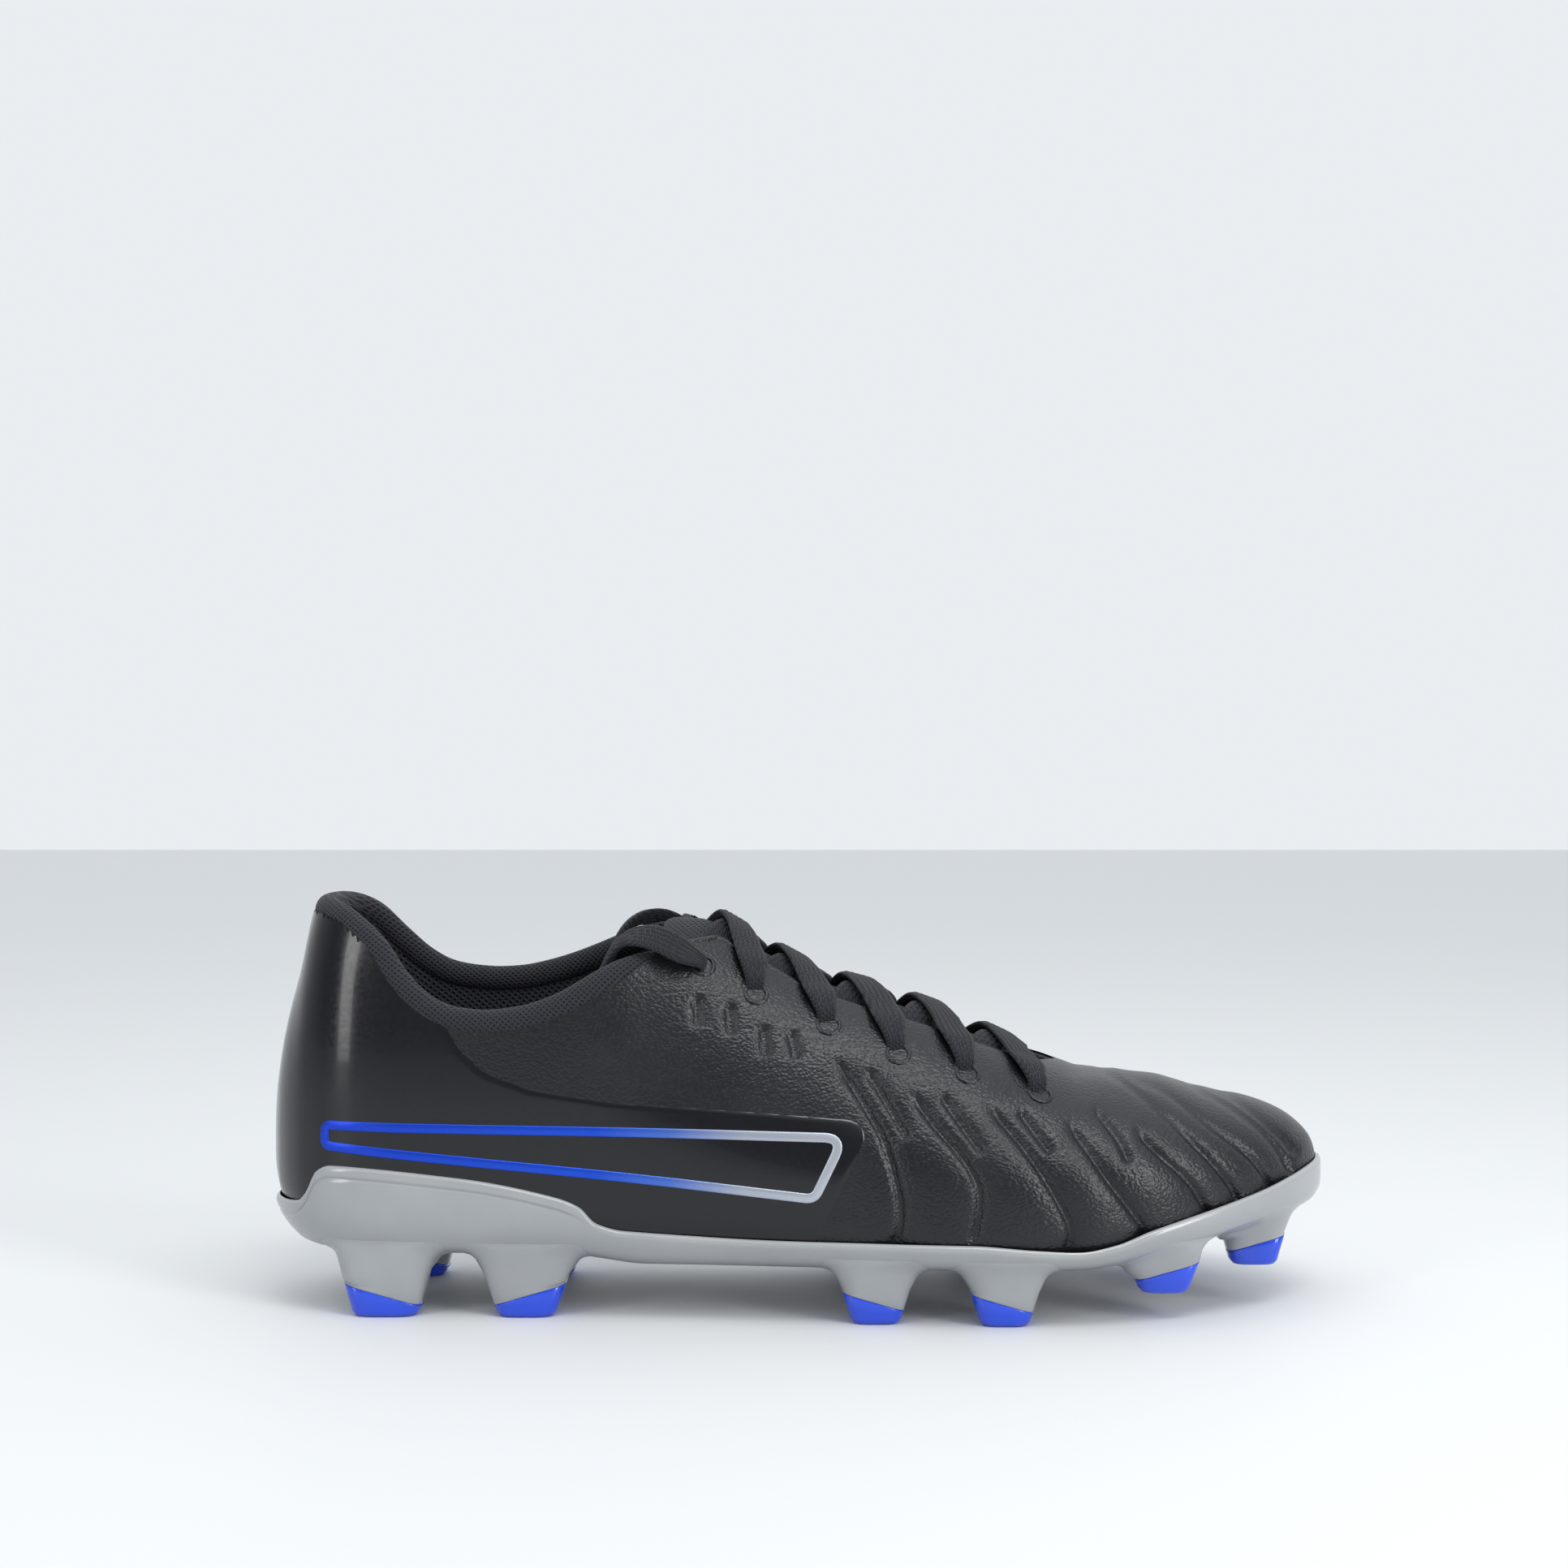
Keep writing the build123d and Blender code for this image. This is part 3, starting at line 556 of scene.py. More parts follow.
def mesh_knit(name, color, pitch, deep, rough=0.8):
    """Small-pitch knitted mesh: rounded cells between raised yarns, with painted shade in the cells and painted
    light on the yarns.
    """
    mat, t, b = shader(name, color, rough, Sheen_Weight=0.10, Sheen_Roughness=0.4,
                        Specular_IOR_Level=0.3)
    waves = []
    for turn in (0.9, -0.75):
        vec = coords(t, rotation=(0.35, turn, 0.2))
        w = node(t, "ShaderNodeTexWave", in_Scale=pitch, in_Distortion=0.6, bands_direction="X")
        w.inputs["Detail Scale"].default_value = 2.0
        plug(vec, w, "Vector")
        waves.append(w.outputs["Fac"])
    mix = node(t, "ShaderNodeMath", operation="MAXIMUM")
    plug(waves[0], mix, 0)
    plug(waves[1], mix, 1)
    n1 = bump(t, mix.outputs[0], 0.8, deep)
    plug(bump(t, noise(t, coords(t), 3000.0), 0.25, 0.0001, n1), b, "Normal")
    # painted shade darkens the low cells and painted light brightens the raised yarns, both keyed to the bump
    # height
    plug(ramp(t, mix.outputs[0], [(0.25, tint(color, 0.35)), (0.9, tint(color, 1.7))]), b, "Base Color")
    return mat


def woven(name, color, scale=1.0):
    """Flat woven tape: fine diagonal threads, with painted shade between the threads and painted light on their
    crowns.
    """
    mat, t, b = shader(name, color, 0.72, Sheen_Weight=0.08, Sheen_Roughness=0.45,
                        Specular_IOR_Level=0.35)
    mix = node(t, "ShaderNodeMath", operation="MULTIPLY")
    for slot, turn in enumerate(((0.0, 0.6, 0.78), (0.5, -0.6, -0.78))):
        wave = node(t, "ShaderNodeTexWave", in_Scale=520.0 * scale, in_Distortion=1.2, bands_direction="X")
        plug(coords(t, rotation=turn), wave, "Vector")
        plug(wave.outputs["Fac"], mix, slot)
    plug(bump(t, mix.outputs[0], 0.8, 0.0004), b, "Normal")
    # painted shade darkens the gaps between threads and painted light brightens the thread crowns, both keyed to
    # the bump height
    plug(ramp(t, mix.outputs[0], [(0.1, tint(color, 0.35)), (0.8, tint(color, 1.9))]), b, "Base Color")
    return mat


def gloss_plastic(name, color, rough=0.2, coat=0.35):
    """Glossy moulded plastic with faint flow marks and scuffs."""
    mat, t, b = shader(name, color, rough, Coat_Weight=coat, Coat_Roughness=0.1, Specular_IOR_Level=0.5)
    v = coords(t)
    flow = noise(t, v, 45.0, 3.0)
    n1 = bump(t, flow, 0.06, 0.001)
    plug(bump(t, noise(t, v, 700.0, 3.0), 0.05, 0.0002, n1), b, "Normal")
    plug(map_range(t, flow, 0.3, 0.7, rough * 0.8, rough * 1.35), b, "Roughness")
    plug(ramp(t, flow, [(0.3, tint(color, 0.95)), (0.7, tint(color, 1.04))]), b, "Base Color")
    return mat


def stripe_finish():
    """Metallic print that runs from blue at the heel to silver at the front."""
    mat, t, b = shader("stripe_print", (0.5, 0.55, 0.62), 0.3, Metallic=0.55, Specular_IOR_Level=0.5)
    tex = node(t, "ShaderNodeTexCoord")
    sep = node(t, "ShaderNodeSeparateXYZ")
    plug(tex.outputs["Object"], sep, 0)
    place = map_range(t, sep.outputs["X"], -0.130, 0.030, 0.0, 1.0)
    stops = [(0.0, (0.004, 0.04, 0.50)), (0.48, (0.008, 0.07, 0.60)), (0.60, (0.07, 0.16, 0.55)),
             (0.72, (0.38, 0.42, 0.50)), (1.0, (0.52, 0.54, 0.57))]
    plug(ramp(t, place, stops), b, "Base Color")
    plug(bump(t, noise(t, tex.outputs["Object"], 1500.0), 0.12, 0.0001), b, "Normal")
    return mat


LEATHER = leather()
FILM = film()
COLLAR_KNIT = mesh_knit("collar_knit", (0.015, 0.015, 0.020), 300.0, 0.0005)
LINING_KNIT = mesh_knit("lining_knit", (0.016, 0.017, 0.023), 240.0, 0.0006)
TONGUE_CLOTH = mesh_knit("tongue_cloth", (0.016, 0.016, 0.019), 330.0, 0.0004)
LACE_CLOTH = woven("lace_cloth", (0.014, 0.015, 0.022))
FOOTBED_CLOTH = woven("footbed_cloth", (0.03, 0.03, 0.033), 0.6)
BOARD_CLOTH = woven("board_cloth", (0.42, 0.40, 0.37), 0.5)
PLATE_GREY = gloss_plastic("plate_grey", (0.31, 0.323, 0.335), 0.2)
STUD_BLUE = gloss_plastic("stud_blue", (0.006, 0.055, 0.62), 0.16, 0.5)
AGLET_FILM = gloss_plastic("aglet_film", (0.02, 0.02, 0.022), 0.25)
STRIPE = stripe_finish()


def finish_piece(obj, mat, body, nodes=()):
    """Material, body and CAD nodes of one piece."""
    obj.data.materials.append(mat)
    if body == "blend":
        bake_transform(obj)
    else:
        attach(obj, body)
    if nodes:
        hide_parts(*nodes)
    return obj


def side_hit(x, z, side, inset=0.0):
    """Points of the form at (x, z) on one side."""
    x, z = np.broadcast_arrays(np.asarray(x, float), np.asarray(z, float))
    squeeze = 1 - inset / 142.0
    middle = follow(CENTRE_SHIFT, x / squeeze)
    low, _ = bisect(lambda reach: field(x, middle + side * reach, z, inset) > 0,
                    np.zeros(x.shape), np.full(x.shape, 60.0))
    return np.stack([x, middle + side * low, z], axis=-1)


def polygon_value(px, pz, poly):
    """Signed distance to a side-view polygon, negative inside."""
    poly = np.asarray(poly, float)
    a, b = poly, np.roll(poly, -1, axis=0)
    apart = np.hypot(*(b - a).T) > 1e-9
    a, b = a[apart], b[apart]
    best = np.full(len(px), 1e9)
    inside = np.zeros(len(px), bool)
    for (ax, az), (bx, bz) in zip(a, b):
        ex, ez = bx - ax, bz - az
        t = np.clip(((px - ax) * ex + (pz - az) * ez) / (ex * ex + ez * ez), 0, 1)
        best = np.minimum(best, np.hypot(px - ax - t * ex, pz - az - t * ez))
        hit = ((az > pz) != (bz > pz)) & (px < ax + (pz - az) * ex / np.where(ez == 0, 1e-9, ez))
        inside ^= hit
    return np.where(inside, -best, best)


# ---------------------------------------------------------------- upper pieces
skin_v, skin_f, _ = cut_skin(skin_shape)
upper = mesh_object("upper_skin", skin_v, skin_f)
finish_piece(upper, LEATHER, "blend", ["vamp_toe", "vamp_flex", "vamp", "quarter_lateral", "quarter_medial",
                                       "toe_puff", "vamp_foam", "heel_counter", "eyestay_lateral",
                                       "eyestay_medial"])

FILM_SHAPE = [(-150, 130), (-94, 130), (-92.5, 77.3), (-89, 71), (-82, 64.5), (-70, 60), (-50, 57), (-10, 54.6),
              (12, 53.2), (15.5, 51.5), (16, 48.5), (12, 40), (8, 31.5), (5, 26), (2, 15), (-150, 5)]


def rounded_polygon(corners, radii, count=420):
    """Closed loop with rounded corners, evenly resampled."""
    pts = []
    n = len(corners)
    for i in range(n):
        a, b, c = (np.array(corners[(i + k) % n], float) for k in (-1, 0, 1))
        u, w = (a - b) / np.linalg.norm(a - b), (c - b) / np.linalg.norm(c - b)
        half = math.acos(max(-1, min(1, float(u @ w)))) / 2
        cut = min(radii[i] / math.tan(half), 0.48 * np.linalg.norm(a - b), 0.48 * np.linalg.norm(c - b))
        for t in np.linspace(0, 1, 14):
            pts.append((1 - t) ** 2 * (b + u * cut) + 2 * t * (1 - t) * b + t * t * (b + w * cut))
    pts.append(pts[0])
    return resample(np.array([(x, 0, z) for x, z in pts]), count)[:, [0, 2]]


film_loop = rounded_polygon(FILM_SHAPE, [3.0] * len(FILM_SHAPE))


def film_value(p):
    return polygon_value(p[:, 0], p[:, 2], film_loop)


film_v, film_f, _ = cut_skin(skin_shape, film_value)
film_n = normal_at(film_v)
film_edge = -film_value(film_v)
film_v = film_v + film_n * (0.24 * np.sqrt(np.clip(film_edge / 0.9, 0, 1)) - 0.04)[:, None]
film_obj = mesh_object("heel_film", film_v, film_f)
finish_piece(film_obj, FILM, "rear", [])

# Slim band outline printed on each side, closed by a slanted front end.
BAND = [(-124, 50.5), (10.5, 48.6), (3.0, 33.2), (-124, 45.2)]
band_loop = rounded_polygon(BAND, [1.6, 3.2, 3.2, 1.6])
for side, word in ((-1, "lateral"), (1, "medial")):
    path = side_hit(band_loop[:, 0], band_loop[:, 1], side)
    ups = normal_at(path)
    path = path + ups * 0.24
    profile = [(-1.25, -0.15), (-1.2, 0.06), (-0.9, 0.16), (0.0, 0.2), (0.9, 0.16), (1.2, 0.06), (1.25, -0.15)]
    v, f = sweep(path, ups, profile, caps=False)
    stripe = mesh_object("stripe_" + word, v, f)
    finish_piece(stripe, STRIPE, "rear")

# Lining: the inner face of the shoe, seen through the collar.
lin_o, lin_d = rays(HEEL_STEPS[::2], MID_XS[::2], TOE_STEPS[::2], ANGLES[::2])
lin_rows, lin_cols = lin_o.shape[:2]
lin_pts = cast(lin_o, lin_d, 4.4)


def lining_value(p):
    floor = follow(UPPER_BOTTOM, p[:, 0]) + 5.5
    return np.maximum(open_value(p), floor - p[:, 2])


lin_v, lin_f, _ = trim_grid(lin_pts, lining_value, 3.0, lin_rows, lin_cols)
lining = mesh_object("inner_lining", lin_v, lin_f[:, ::-1])
finish_piece(lining, LINING_KNIT, "blend", ["quarter_lining", "vamp_lining", "toe_lining", "flex_lining"])


def rim_path(inset, drop=0.0):
    """Collar line from the lateral throat corner round the heel to the medial one."""
    back = -141.5
    for x in np.linspace(-120, -140, 401):
        crest = float(follow(UPPER_TOP, x / (1 - inset / 142.0))) - 1.05 * inset
        if crest <= float(follow(LATERAL_COLLAR, x)) - drop:
            back = x
            break
    t = np.linspace(0, 1, 260)
    xs = back + (-30.0 - back) * t ** 2
    halves = []
    for side, table in ((-1, LATERAL_COLLAR), (1, MEDIAL_COLLAR)):
        centre = 0.5 * (follow(LATERAL_COLLAR, xs) + follow(MEDIAL_COLLAR, xs))
        ys_share = step(np.clip((xs + 128) / 14, 0, 1))
        z = (centre * (1 - ys_share) + follow(table, xs) * ys_share) - drop
        y = skin_y(xs, z, side, inset)
        halves.append(np.stack([xs, y, z], axis=1))
    return smooth_line(resample(np.vstack([halves[0][::-1], halves[1][1:]]), 420), 12)


rim = rim_path(2.5, 2.3)
rim_n = normal_at(rim, 2.5)
rim_up = np.cross(rim_n, unit(np.gradient(rim, axis=0)))
rim_up *= np.sign(rim_up[:, 2:3] + 1e-9)
run = np.linspace(0, 1, len(rim))
swell = (0.38 + 0.62 * step(np.minimum(run, 1 - run) / 0.10))[:, None]
rib = 1 + 0.012 * np.sin(2 * math.pi * np.arange(len(rim)) / 3.0)[:, None]
roll_profiles = np.stack([3.1 * swell * rib * np.cos(circle(36)), 3.7 * swell * np.sin(circle(36))], axis=-1)
roll_v, roll_f = sweep(rim, rim_up, roll_profiles)
roll = mesh_object("collar_roll", roll_v, roll_f)
finish_piece(roll, COLLAR_KNIT, "rear", ["collar_foam"])


def throat_side(side, table):
    """Plan points from the collar corner along one edge of the lacing opening to its front."""
    xs = np.linspace(-33, -10, 90)
    ys = skin_y(xs, follow(table, xs) - 0.6, side, 1.9)
    wide = np.abs(ys) > follow(THROAT_HALF, xs)
    run = np.concatenate([np.linspace(-30, 56, 120), 69.5 - 13.5 * np.cos(np.linspace(0, math.pi / 2, 60))[1:]])
    run = np.unique(run[run > xs[wide][-1] + 0.4])
    half = follow(THROAT_HALF, run)
    half[-1] = 0
    return np.vstack([np.stack([xs[wide], ys[wide]], axis=1), np.stack([run, side * half], axis=1)])


throat = np.vstack([throat_side(-1, LATERAL_COLLAR), throat_side(1, MEDIAL_COLLAR)[::-1][1:]])
throat = np.stack([throat[:, 0], throat[:, 1], skin_z(throat[:, 0], throat[:, 1], 1.9)], axis=1)
throat = smooth_line(resample(throat, 320), 6)
throat_n = normal_at(throat, 1.9)
edge_profile = [(1.15 * math.cos(a), 1.95 * math.sin(a)) for a in circle(20)]
v, f = sweep(throat, throat_n, edge_profile)
throat_edge = mesh_object("throat_binding", v, f)
finish_piece(throat_edge, LEATHER, "rear", [])


def eyelet_frame(n, side, inset=0.0):
    """Centre and outward normal of an eyelet."""
    x, z = EYELETS[n]
    p = side_hit(x, z, side, inset)
    return p, normal_at(p[None])[0]


# Punched eyelets: pressed rim and dark well in the skin.
parts = []
for n in range(6):
    for side in (-1, 1):
        p, nrm = eyelet_frame(n, side)
        helper = unit(np.array([1.0, 0, 0]) - nrm * nrm[0])
        other = np.cross(nrm, helper)
        rings = [(3.5, 0.05), (3.1, 0.32), (2.7, 0.38), (2.4, 0.15), (2.3, -0.6), (2.3, -3.5)]
        rv = [p + (helper * np.cos(a) + other * np.sin(a)) * r + nrm * h for r, h in rings for a in circle(40)]
        parts.append((np.array(rv), grid_faces(len(rings), 40, close_cols=True)))
v, f = join_parts(parts)
eyelets = mesh_object("eyelet_rims", v, f)
finish_piece(eyelets, LEATHER, "rear", [])

# ---------------------------------------------------------------- tongue
TONGUE_HALF = [(-33, 15), (-24, 16.8), (-10, 18.5), (7, 21), (25, 24.5), (43, 25), (56, 21), (64, 16)]


def rise_at(x, y):
    """0 in the middle of the throat, 1 under the bound edges."""
    return step(np.abs(y) / (follow(THROAT_HALF, x) + 1.0))


def tongue_sheet(inset_middle, inset_edge, xs, us):
    """Grid of one face of the tongue, at an inset in the middle and another under the bound edges."""
    xx, uu = np.meshgrid(xs, us, indexing="ij")
    yy = uu * follow(TONGUE_HALF, xx)
    share = rise_at(xx, yy)
    inset = inset_middle + (inset_edge - inset_middle) * share
    flat_end = step((-20 - xx) / 16)
    inset = inset + (inset_edge - 1.2 - inset) * flat_end * 0.5
    crest = skin_z(xx, np.zeros_like(xx), 0.0) - 2.8
    zz = skin_z(xx, yy, 0.0) - inset * 1.02 - np.logaddexp(0, crest - 103.6)
    return np.stack([xx, yy, zz], axis=-1)


def tongue_mesh():
    """Closed padded tongue: face, rolled edge and back in one net of rings round each station."""
    xs = np.concatenate([-37.6 + 6 * np.linspace(0, 1, 14) ** 2, np.linspace(-31, 66, 150)])
    us = np.sin(np.linspace(-math.pi / 2, math.pi / 2, 61))
    face = tongue_sheet(2.7, 6.2, xs, us)
    back = tongue_sheet(8.6, 10.2, xs, us)
    middle = (face + back) / 2
    edge = np.abs(us) ** 6
    tip = (1 - np.clip((xs + 37.6) / 5.5, 0, 1)) ** 2
    pinch = np.clip(1 - np.maximum(edge[None, :], tip[:, None] ** 2), 0, 1)[..., None]
    quilt = 0.15 * np.cos(2 * math.pi * (xs[:, None] + 6) / 9.5)
    face = middle + (face - middle) * np.sqrt(pinch)
    back = middle + (back - middle) * np.sqrt(pinch)
    face[..., 2] += quilt * pinch[..., 0]
    return np.concatenate([face, back[:, ::-1][:, 1:-1]], axis=1)


ring = tongue_mesh()
rows, cols = ring.shape[:2]
tongue = mesh_object("tongue_pad", ring.reshape(-1, 3), [f[::-1] for f in tube_faces(rows, cols)])
finish_piece(tongue, TONGUE_CLOTH, "tongue", ["tongue_face", "tongue_foam", "tongue_lining"])

# ---------------------------------------------------------------- laces
RIBS = 6


def lace_section(half, thick, count=26):
    """Outline of the flat ribbed lace, as (side, up) points."""
    top = []
    for s in np.linspace(-1, 1, count):
        body = thick * (1 - 0.35 * abs(s) ** 5) * math.sqrt(max(1 - abs(s) ** 8, 0.0))
        rib = 0.15 * math.cos(math.pi * RIBS * s) * (1 - abs(s) ** 6)
        top.append((half * s, body + rib))
    return top + [(a, -b) for a, b in top[::-1][1:-1]]


def lace_piece(points, ups, widths, thicks):
    """A length of lace along a path, each station with its half width and half thickness."""
    v, f = sweep(points, ups, [lace_section(w, t) for w, t in zip(widths, thicks)])
    return v, [face[::-1] for face in f]


def plan_path(a, b, count, bow=0.0):
    t = np.linspace(0, 1, count)
    xy = a[None] * (1 - t)[:, None] + b[None] * t[:, None]
    across = np.array([-(b - a)[1], (b - a)[0]]) / np.linalg.norm(b - a)
    return xy + across * (bow * np.sin(math.pi * t))[:, None], t


def surface_run(xy, inset):
    z = skin_z(xy[:, 0], xy[:, 1], 0.0)
    p = np.stack([xy[:, 0], xy[:, 1], z], axis=1)
    n = normal_at(p)
    return p - n * inset[:, None], n


hole = {(n, s): eyelet_frame(n, s)[0] for n in range(6) for s in (-1, 1)}
hole_n = {(n, s): eyelet_frame(n, s)[1] for n in range(6) for s in (-1, 1)}
LACE_HALF = 4.4
LACE_THICK = 0.9
COUNT = 90
lace_parts = []


def strand(start, end, over):
    """A run out of one eyelet, over the bound edge and the tongue, and under the far edge to its eyelet."""
    side = math.copysign(1, start[1])
    xy, t = plan_path(start[:2], end[:2], COUNT, 0.9 * side)
    q = -side * xy[:, 1] / follow(THROAT_HALF, xy[:, 0])
    above = -1.05 + (over + 1.05) * step((q + 0.95) / 0.8)
    below = over + (4.9 - over) * step((q - 0.15) / 0.95)
    inset = np.where(q < 0.15, above, below)
    inset = np.convolve(np.pad(inset, 4, mode="edge"), np.ones(9) / 9, mode="valid")
    inset = inset - 0.9 * np.exp(-((t - 0.13) / 0.07) ** 2)
    inset = inset + 4.5 * step((0.055 - t) / 0.055)
    p, nn = surface_run(xy, inset)
    open_up = step((t - 0.02) / 0.15)
    return lace_piece(p, nn, 2.5 + (LACE_HALF - 2.5) * open_up, 1.35 + (LACE_THICK - 1.35) * open_up)


xy, t = plan_path(hole[5, -1][:2], hole[5, 1][:2], COUNT)
p, nn = surface_run(xy, np.full(COUNT, 4.7))
lace_parts.append(lace_piece(p, nn, np.full(COUNT, LACE_HALF - 0.6), np.full(COUNT, LACE_THICK)))
for n in range(5, 0, -1):
    for s in (-1, 1):
        lace_parts.append(strand(hole[n, s], hole[n - 1, -s], 0.7 if s > 0 else -1.3))
v, f = join_parts(lace_parts)
lace = mesh_object("lace_crossings", v, f)
finish_piece(lace, LACE_CLOTH, "rear", ["lace"])

# ---------------------------------------------------------------- free lace ends
TAIL_ROUTES = {"lateral": [(-31, -28.3, 95.6), (-39.5, -27, 99.8), (-48, -21, 98.6), (-54, -18, 87.5),
                           (-58.5, -22.5, 69), (-64, -24, 50), (-72, -22.5, 35.4), (-86, -20, 28.8),
                           (-99, -16.5, 28.2), (-109, -10, 28.6)],
               "medial": [(-31, 25.6, 96), (-39.5, 25, 101.5), (-48, 20.5, 101), (-54, 16.5, 91),
                          (-57.5, 19.5, 74), (-61, 21.5, 56), (-68, 21.5, 39.5), (-79, 19.5, 29.6),
                          (-92, 17, 28.2), (-104, 13.5, 28.5)]}


def route_line(points):
    """Points along the smooth NURBS line of a route, in metres."""
    curve = bpy.data.curves.new("route", "CURVE")
    curve.dimensions = "3D"
    curve.resolution_u = 24
    spline = curve.splines.new("NURBS")
    spline.points.add(len(points) - 1)
    for spot, p in zip(spline.points, points):
        spot.co = (p[0] / 1000, p[1] / 1000, p[2] / 1000, 1)
    spline.order_u = 3
    spline.use_endpoint_u = True
    holder = bpy.data.objects.new("route", curve)
    bpy.context.scene.collection.objects.link(holder)
    bpy.context.view_layer.update()
    mesh = bpy.data.meshes.new_from_object(holder)
    line = np.array([v.co for v in mesh.vertices])
    bpy.data.objects.remove(holder)
    bpy.data.meshes.remove(mesh)
    return line


def aglet_mesh(start, along):
    """Film-wrapped lace tip with a lap seam, a rolled mouth and a rounded end."""
    along = unit(along)
    up = unit(np.array([0, 0, 1.0]) - along * along[2])
    side = np.cross(along, up)
    rings = [(0.0, 1.35), (0.05, 1.72), (0.45, 1.8), (1.0, 1.72), (6, 1.66), (12, 1.6), (18.2, 1.55), (19.3, 1.4),
             (19.8, 1.05), (20.0, 0.5)]
    verts = []
    for h, r in rings:
        for a in circle(36):
            lap = 0.10 if 0.3 < a < 1.0 and 0.3 < h < 19 else 0.0
            verts.append(start + along * h + (side * math.cos(a) + up * math.sin(a)) * (r + lap))
    return np.array(verts), tube_faces(len(rings), 36)


for word, side in (("lateral", -1), ("medial", 1)):
    start = hole[0, side] + hole_n[0, side] * 0.85
    line = route_line([tuple(start), *TAIL_ROUTES[word]])
    pts = resample(line * 1000, 260)
    tan = unit(np.gradient(pts, axis=0))
    s = np.linspace(0, 1, len(pts))
    turns = [(0.0, hole_n[0, side]), (0.05, (0.1, 0.75 * side, 0.66)), (0.13, (0.1, 0.68 * side, 0.73)),
             (0.2, (-0.25, 0.35 * side, 0.9)), (0.29, (-0.9, -0.1 * side, 0.4)),
             (0.43, (-0.85, -0.5 * side, 0.0)), (0.6, (-0.8, -0.55 * side, 0.1)),
             (0.72, (-0.5, -0.3 * side, 0.8)), (0.84, (0, 0, 1)), (1.0, (0, 0, 1))]
    ups = np.stack([np.interp(s, [a for a, _ in turns], [u[k] for _, u in turns]) for k in range(3)], axis=1)
    widen = step(s / 0.07)
    taper = step((1 - s) / 0.07)
    half = 2.0 + (LACE_HALF - 2.0) * widen * taper
    half = np.where(s > 0.9, 1.5 + (LACE_HALF - 1.5) * taper, half)
    thick = 1.2 + (LACE_THICK - 1.2) * widen
    thick = np.where(s > 0.9, 1.35 + (LACE_THICK - 1.35) * taper, thick)
    v, f = lace_piece(pts, ups, half, thick)
    tail = mesh_object("lace_end_" + word, v, f)
    finish_piece(tail, LACE_CLOTH, "rear", ["lace_tail_" + word])
    tip_v, tip_f = aglet_mesh(pts[-1] - tan[-1] * 0.2, tan[-1])
    tip = mesh_object("lace_tip_" + word, tip_v, tip_f)
    finish_piece(tip, AGLET_FILM, "rear", ["aglet_" + word])
    run = float(np.sum(np.linalg.norm(np.diff(line, axis=0), axis=1)))

# ---------------------------------------------------------------- plate
PLATE_SKIN = -1.2
PLATE_DEPTH = 2.0


def stadium_rays(count_cap, xs_mid):
    """Origins and plan directions round the spine: lateral side forwards, toe cap, medial side back, heel cap."""
    fan = np.radians(np.linspace(-90, 90, count_cap + 2)[1:-1])
    sides, caps = np.ones_like(xs_mid), np.ones_like(fan)
    x = np.concatenate([xs_mid, SPINE_TOE * caps, xs_mid[::-1], SPINE_HEEL * caps])
    turn = np.concatenate([-math.pi / 2 * sides, fan, math.pi / 2 * sides, fan + math.pi])
    return np.stack([x, follow(CENTRE_SHIFT, x), 0 * x], axis=1), np.stack([np.cos(turn), np.sin(turn)], axis=1)


SPINE_Z = 34.0
plate_o, plate_d = stadium_rays(110, np.arange(SPINE_HEEL, SPINE_TOE + 0.1, 1.0))
plate_o[:, 2] = SPINE_Z


def plate_cast(elevation, inset=PLATE_SKIN, drop=PLATE_DEPTH):
    """Points on the plate's outside at one elevation angle (radians) per station."""
    d = np.stack([plate_d[:, 0] * np.cos(elevation), plate_d[:, 1] * np.cos(elevation), np.sin(elevation)], axis=1)
    return cast(plate_o, d, inset, drop)


def elevation_for(edge_drop):
    """Elevation at which each station meets the plate's edge line less edge_drop."""
    def above(mid):
        p = plate_cast(mid)
        return p[:, 2] > follow(PLATE_EDGE, p[:, 0]) - edge_drop
    low, high = bisect(above, np.full(len(plate_o), -1.2), np.full(len(plate_o), 0.9), 22)
    return (low + high) / 2


LIP = [(0.0, 1.30), (0.02, 0.95), (0.12, 0.6), (0.35, 0.32), (0.7, 0.1), (1.15, 0.0), (1.7, 0.0), (2.2, 0.0),
       (2.6, 0.02), (2.85, 0.22), (3.1, 0.3), (3.35, 0.22), (3.6, 0.02), (4.2, 0.0), (5.2, 0.0)]
rows = []
for drop_mm, inward in LIP:
    e = elevation_for(drop_mm)
    p = plate_cast(e)
    n = normal_at(p, PLATE_SKIN)
    line_here = step((-56 - p[:, 0]) / 6) if 2.5 < drop_mm < 3.7 else np.ones(len(p))
    rows.append(p - n * (inward * line_here)[:, None])
last = e
for t in np.linspace(0, 1, 64)[1:]:
    rows.append(plate_cast(last * (1 - t) + (-math.pi / 2) * t))
plate_net = np.array(rows)
plate_parts = [(plate_net.reshape(-1, 3), grid_faces(*plate_net.shape[:2], close_cols=True))]

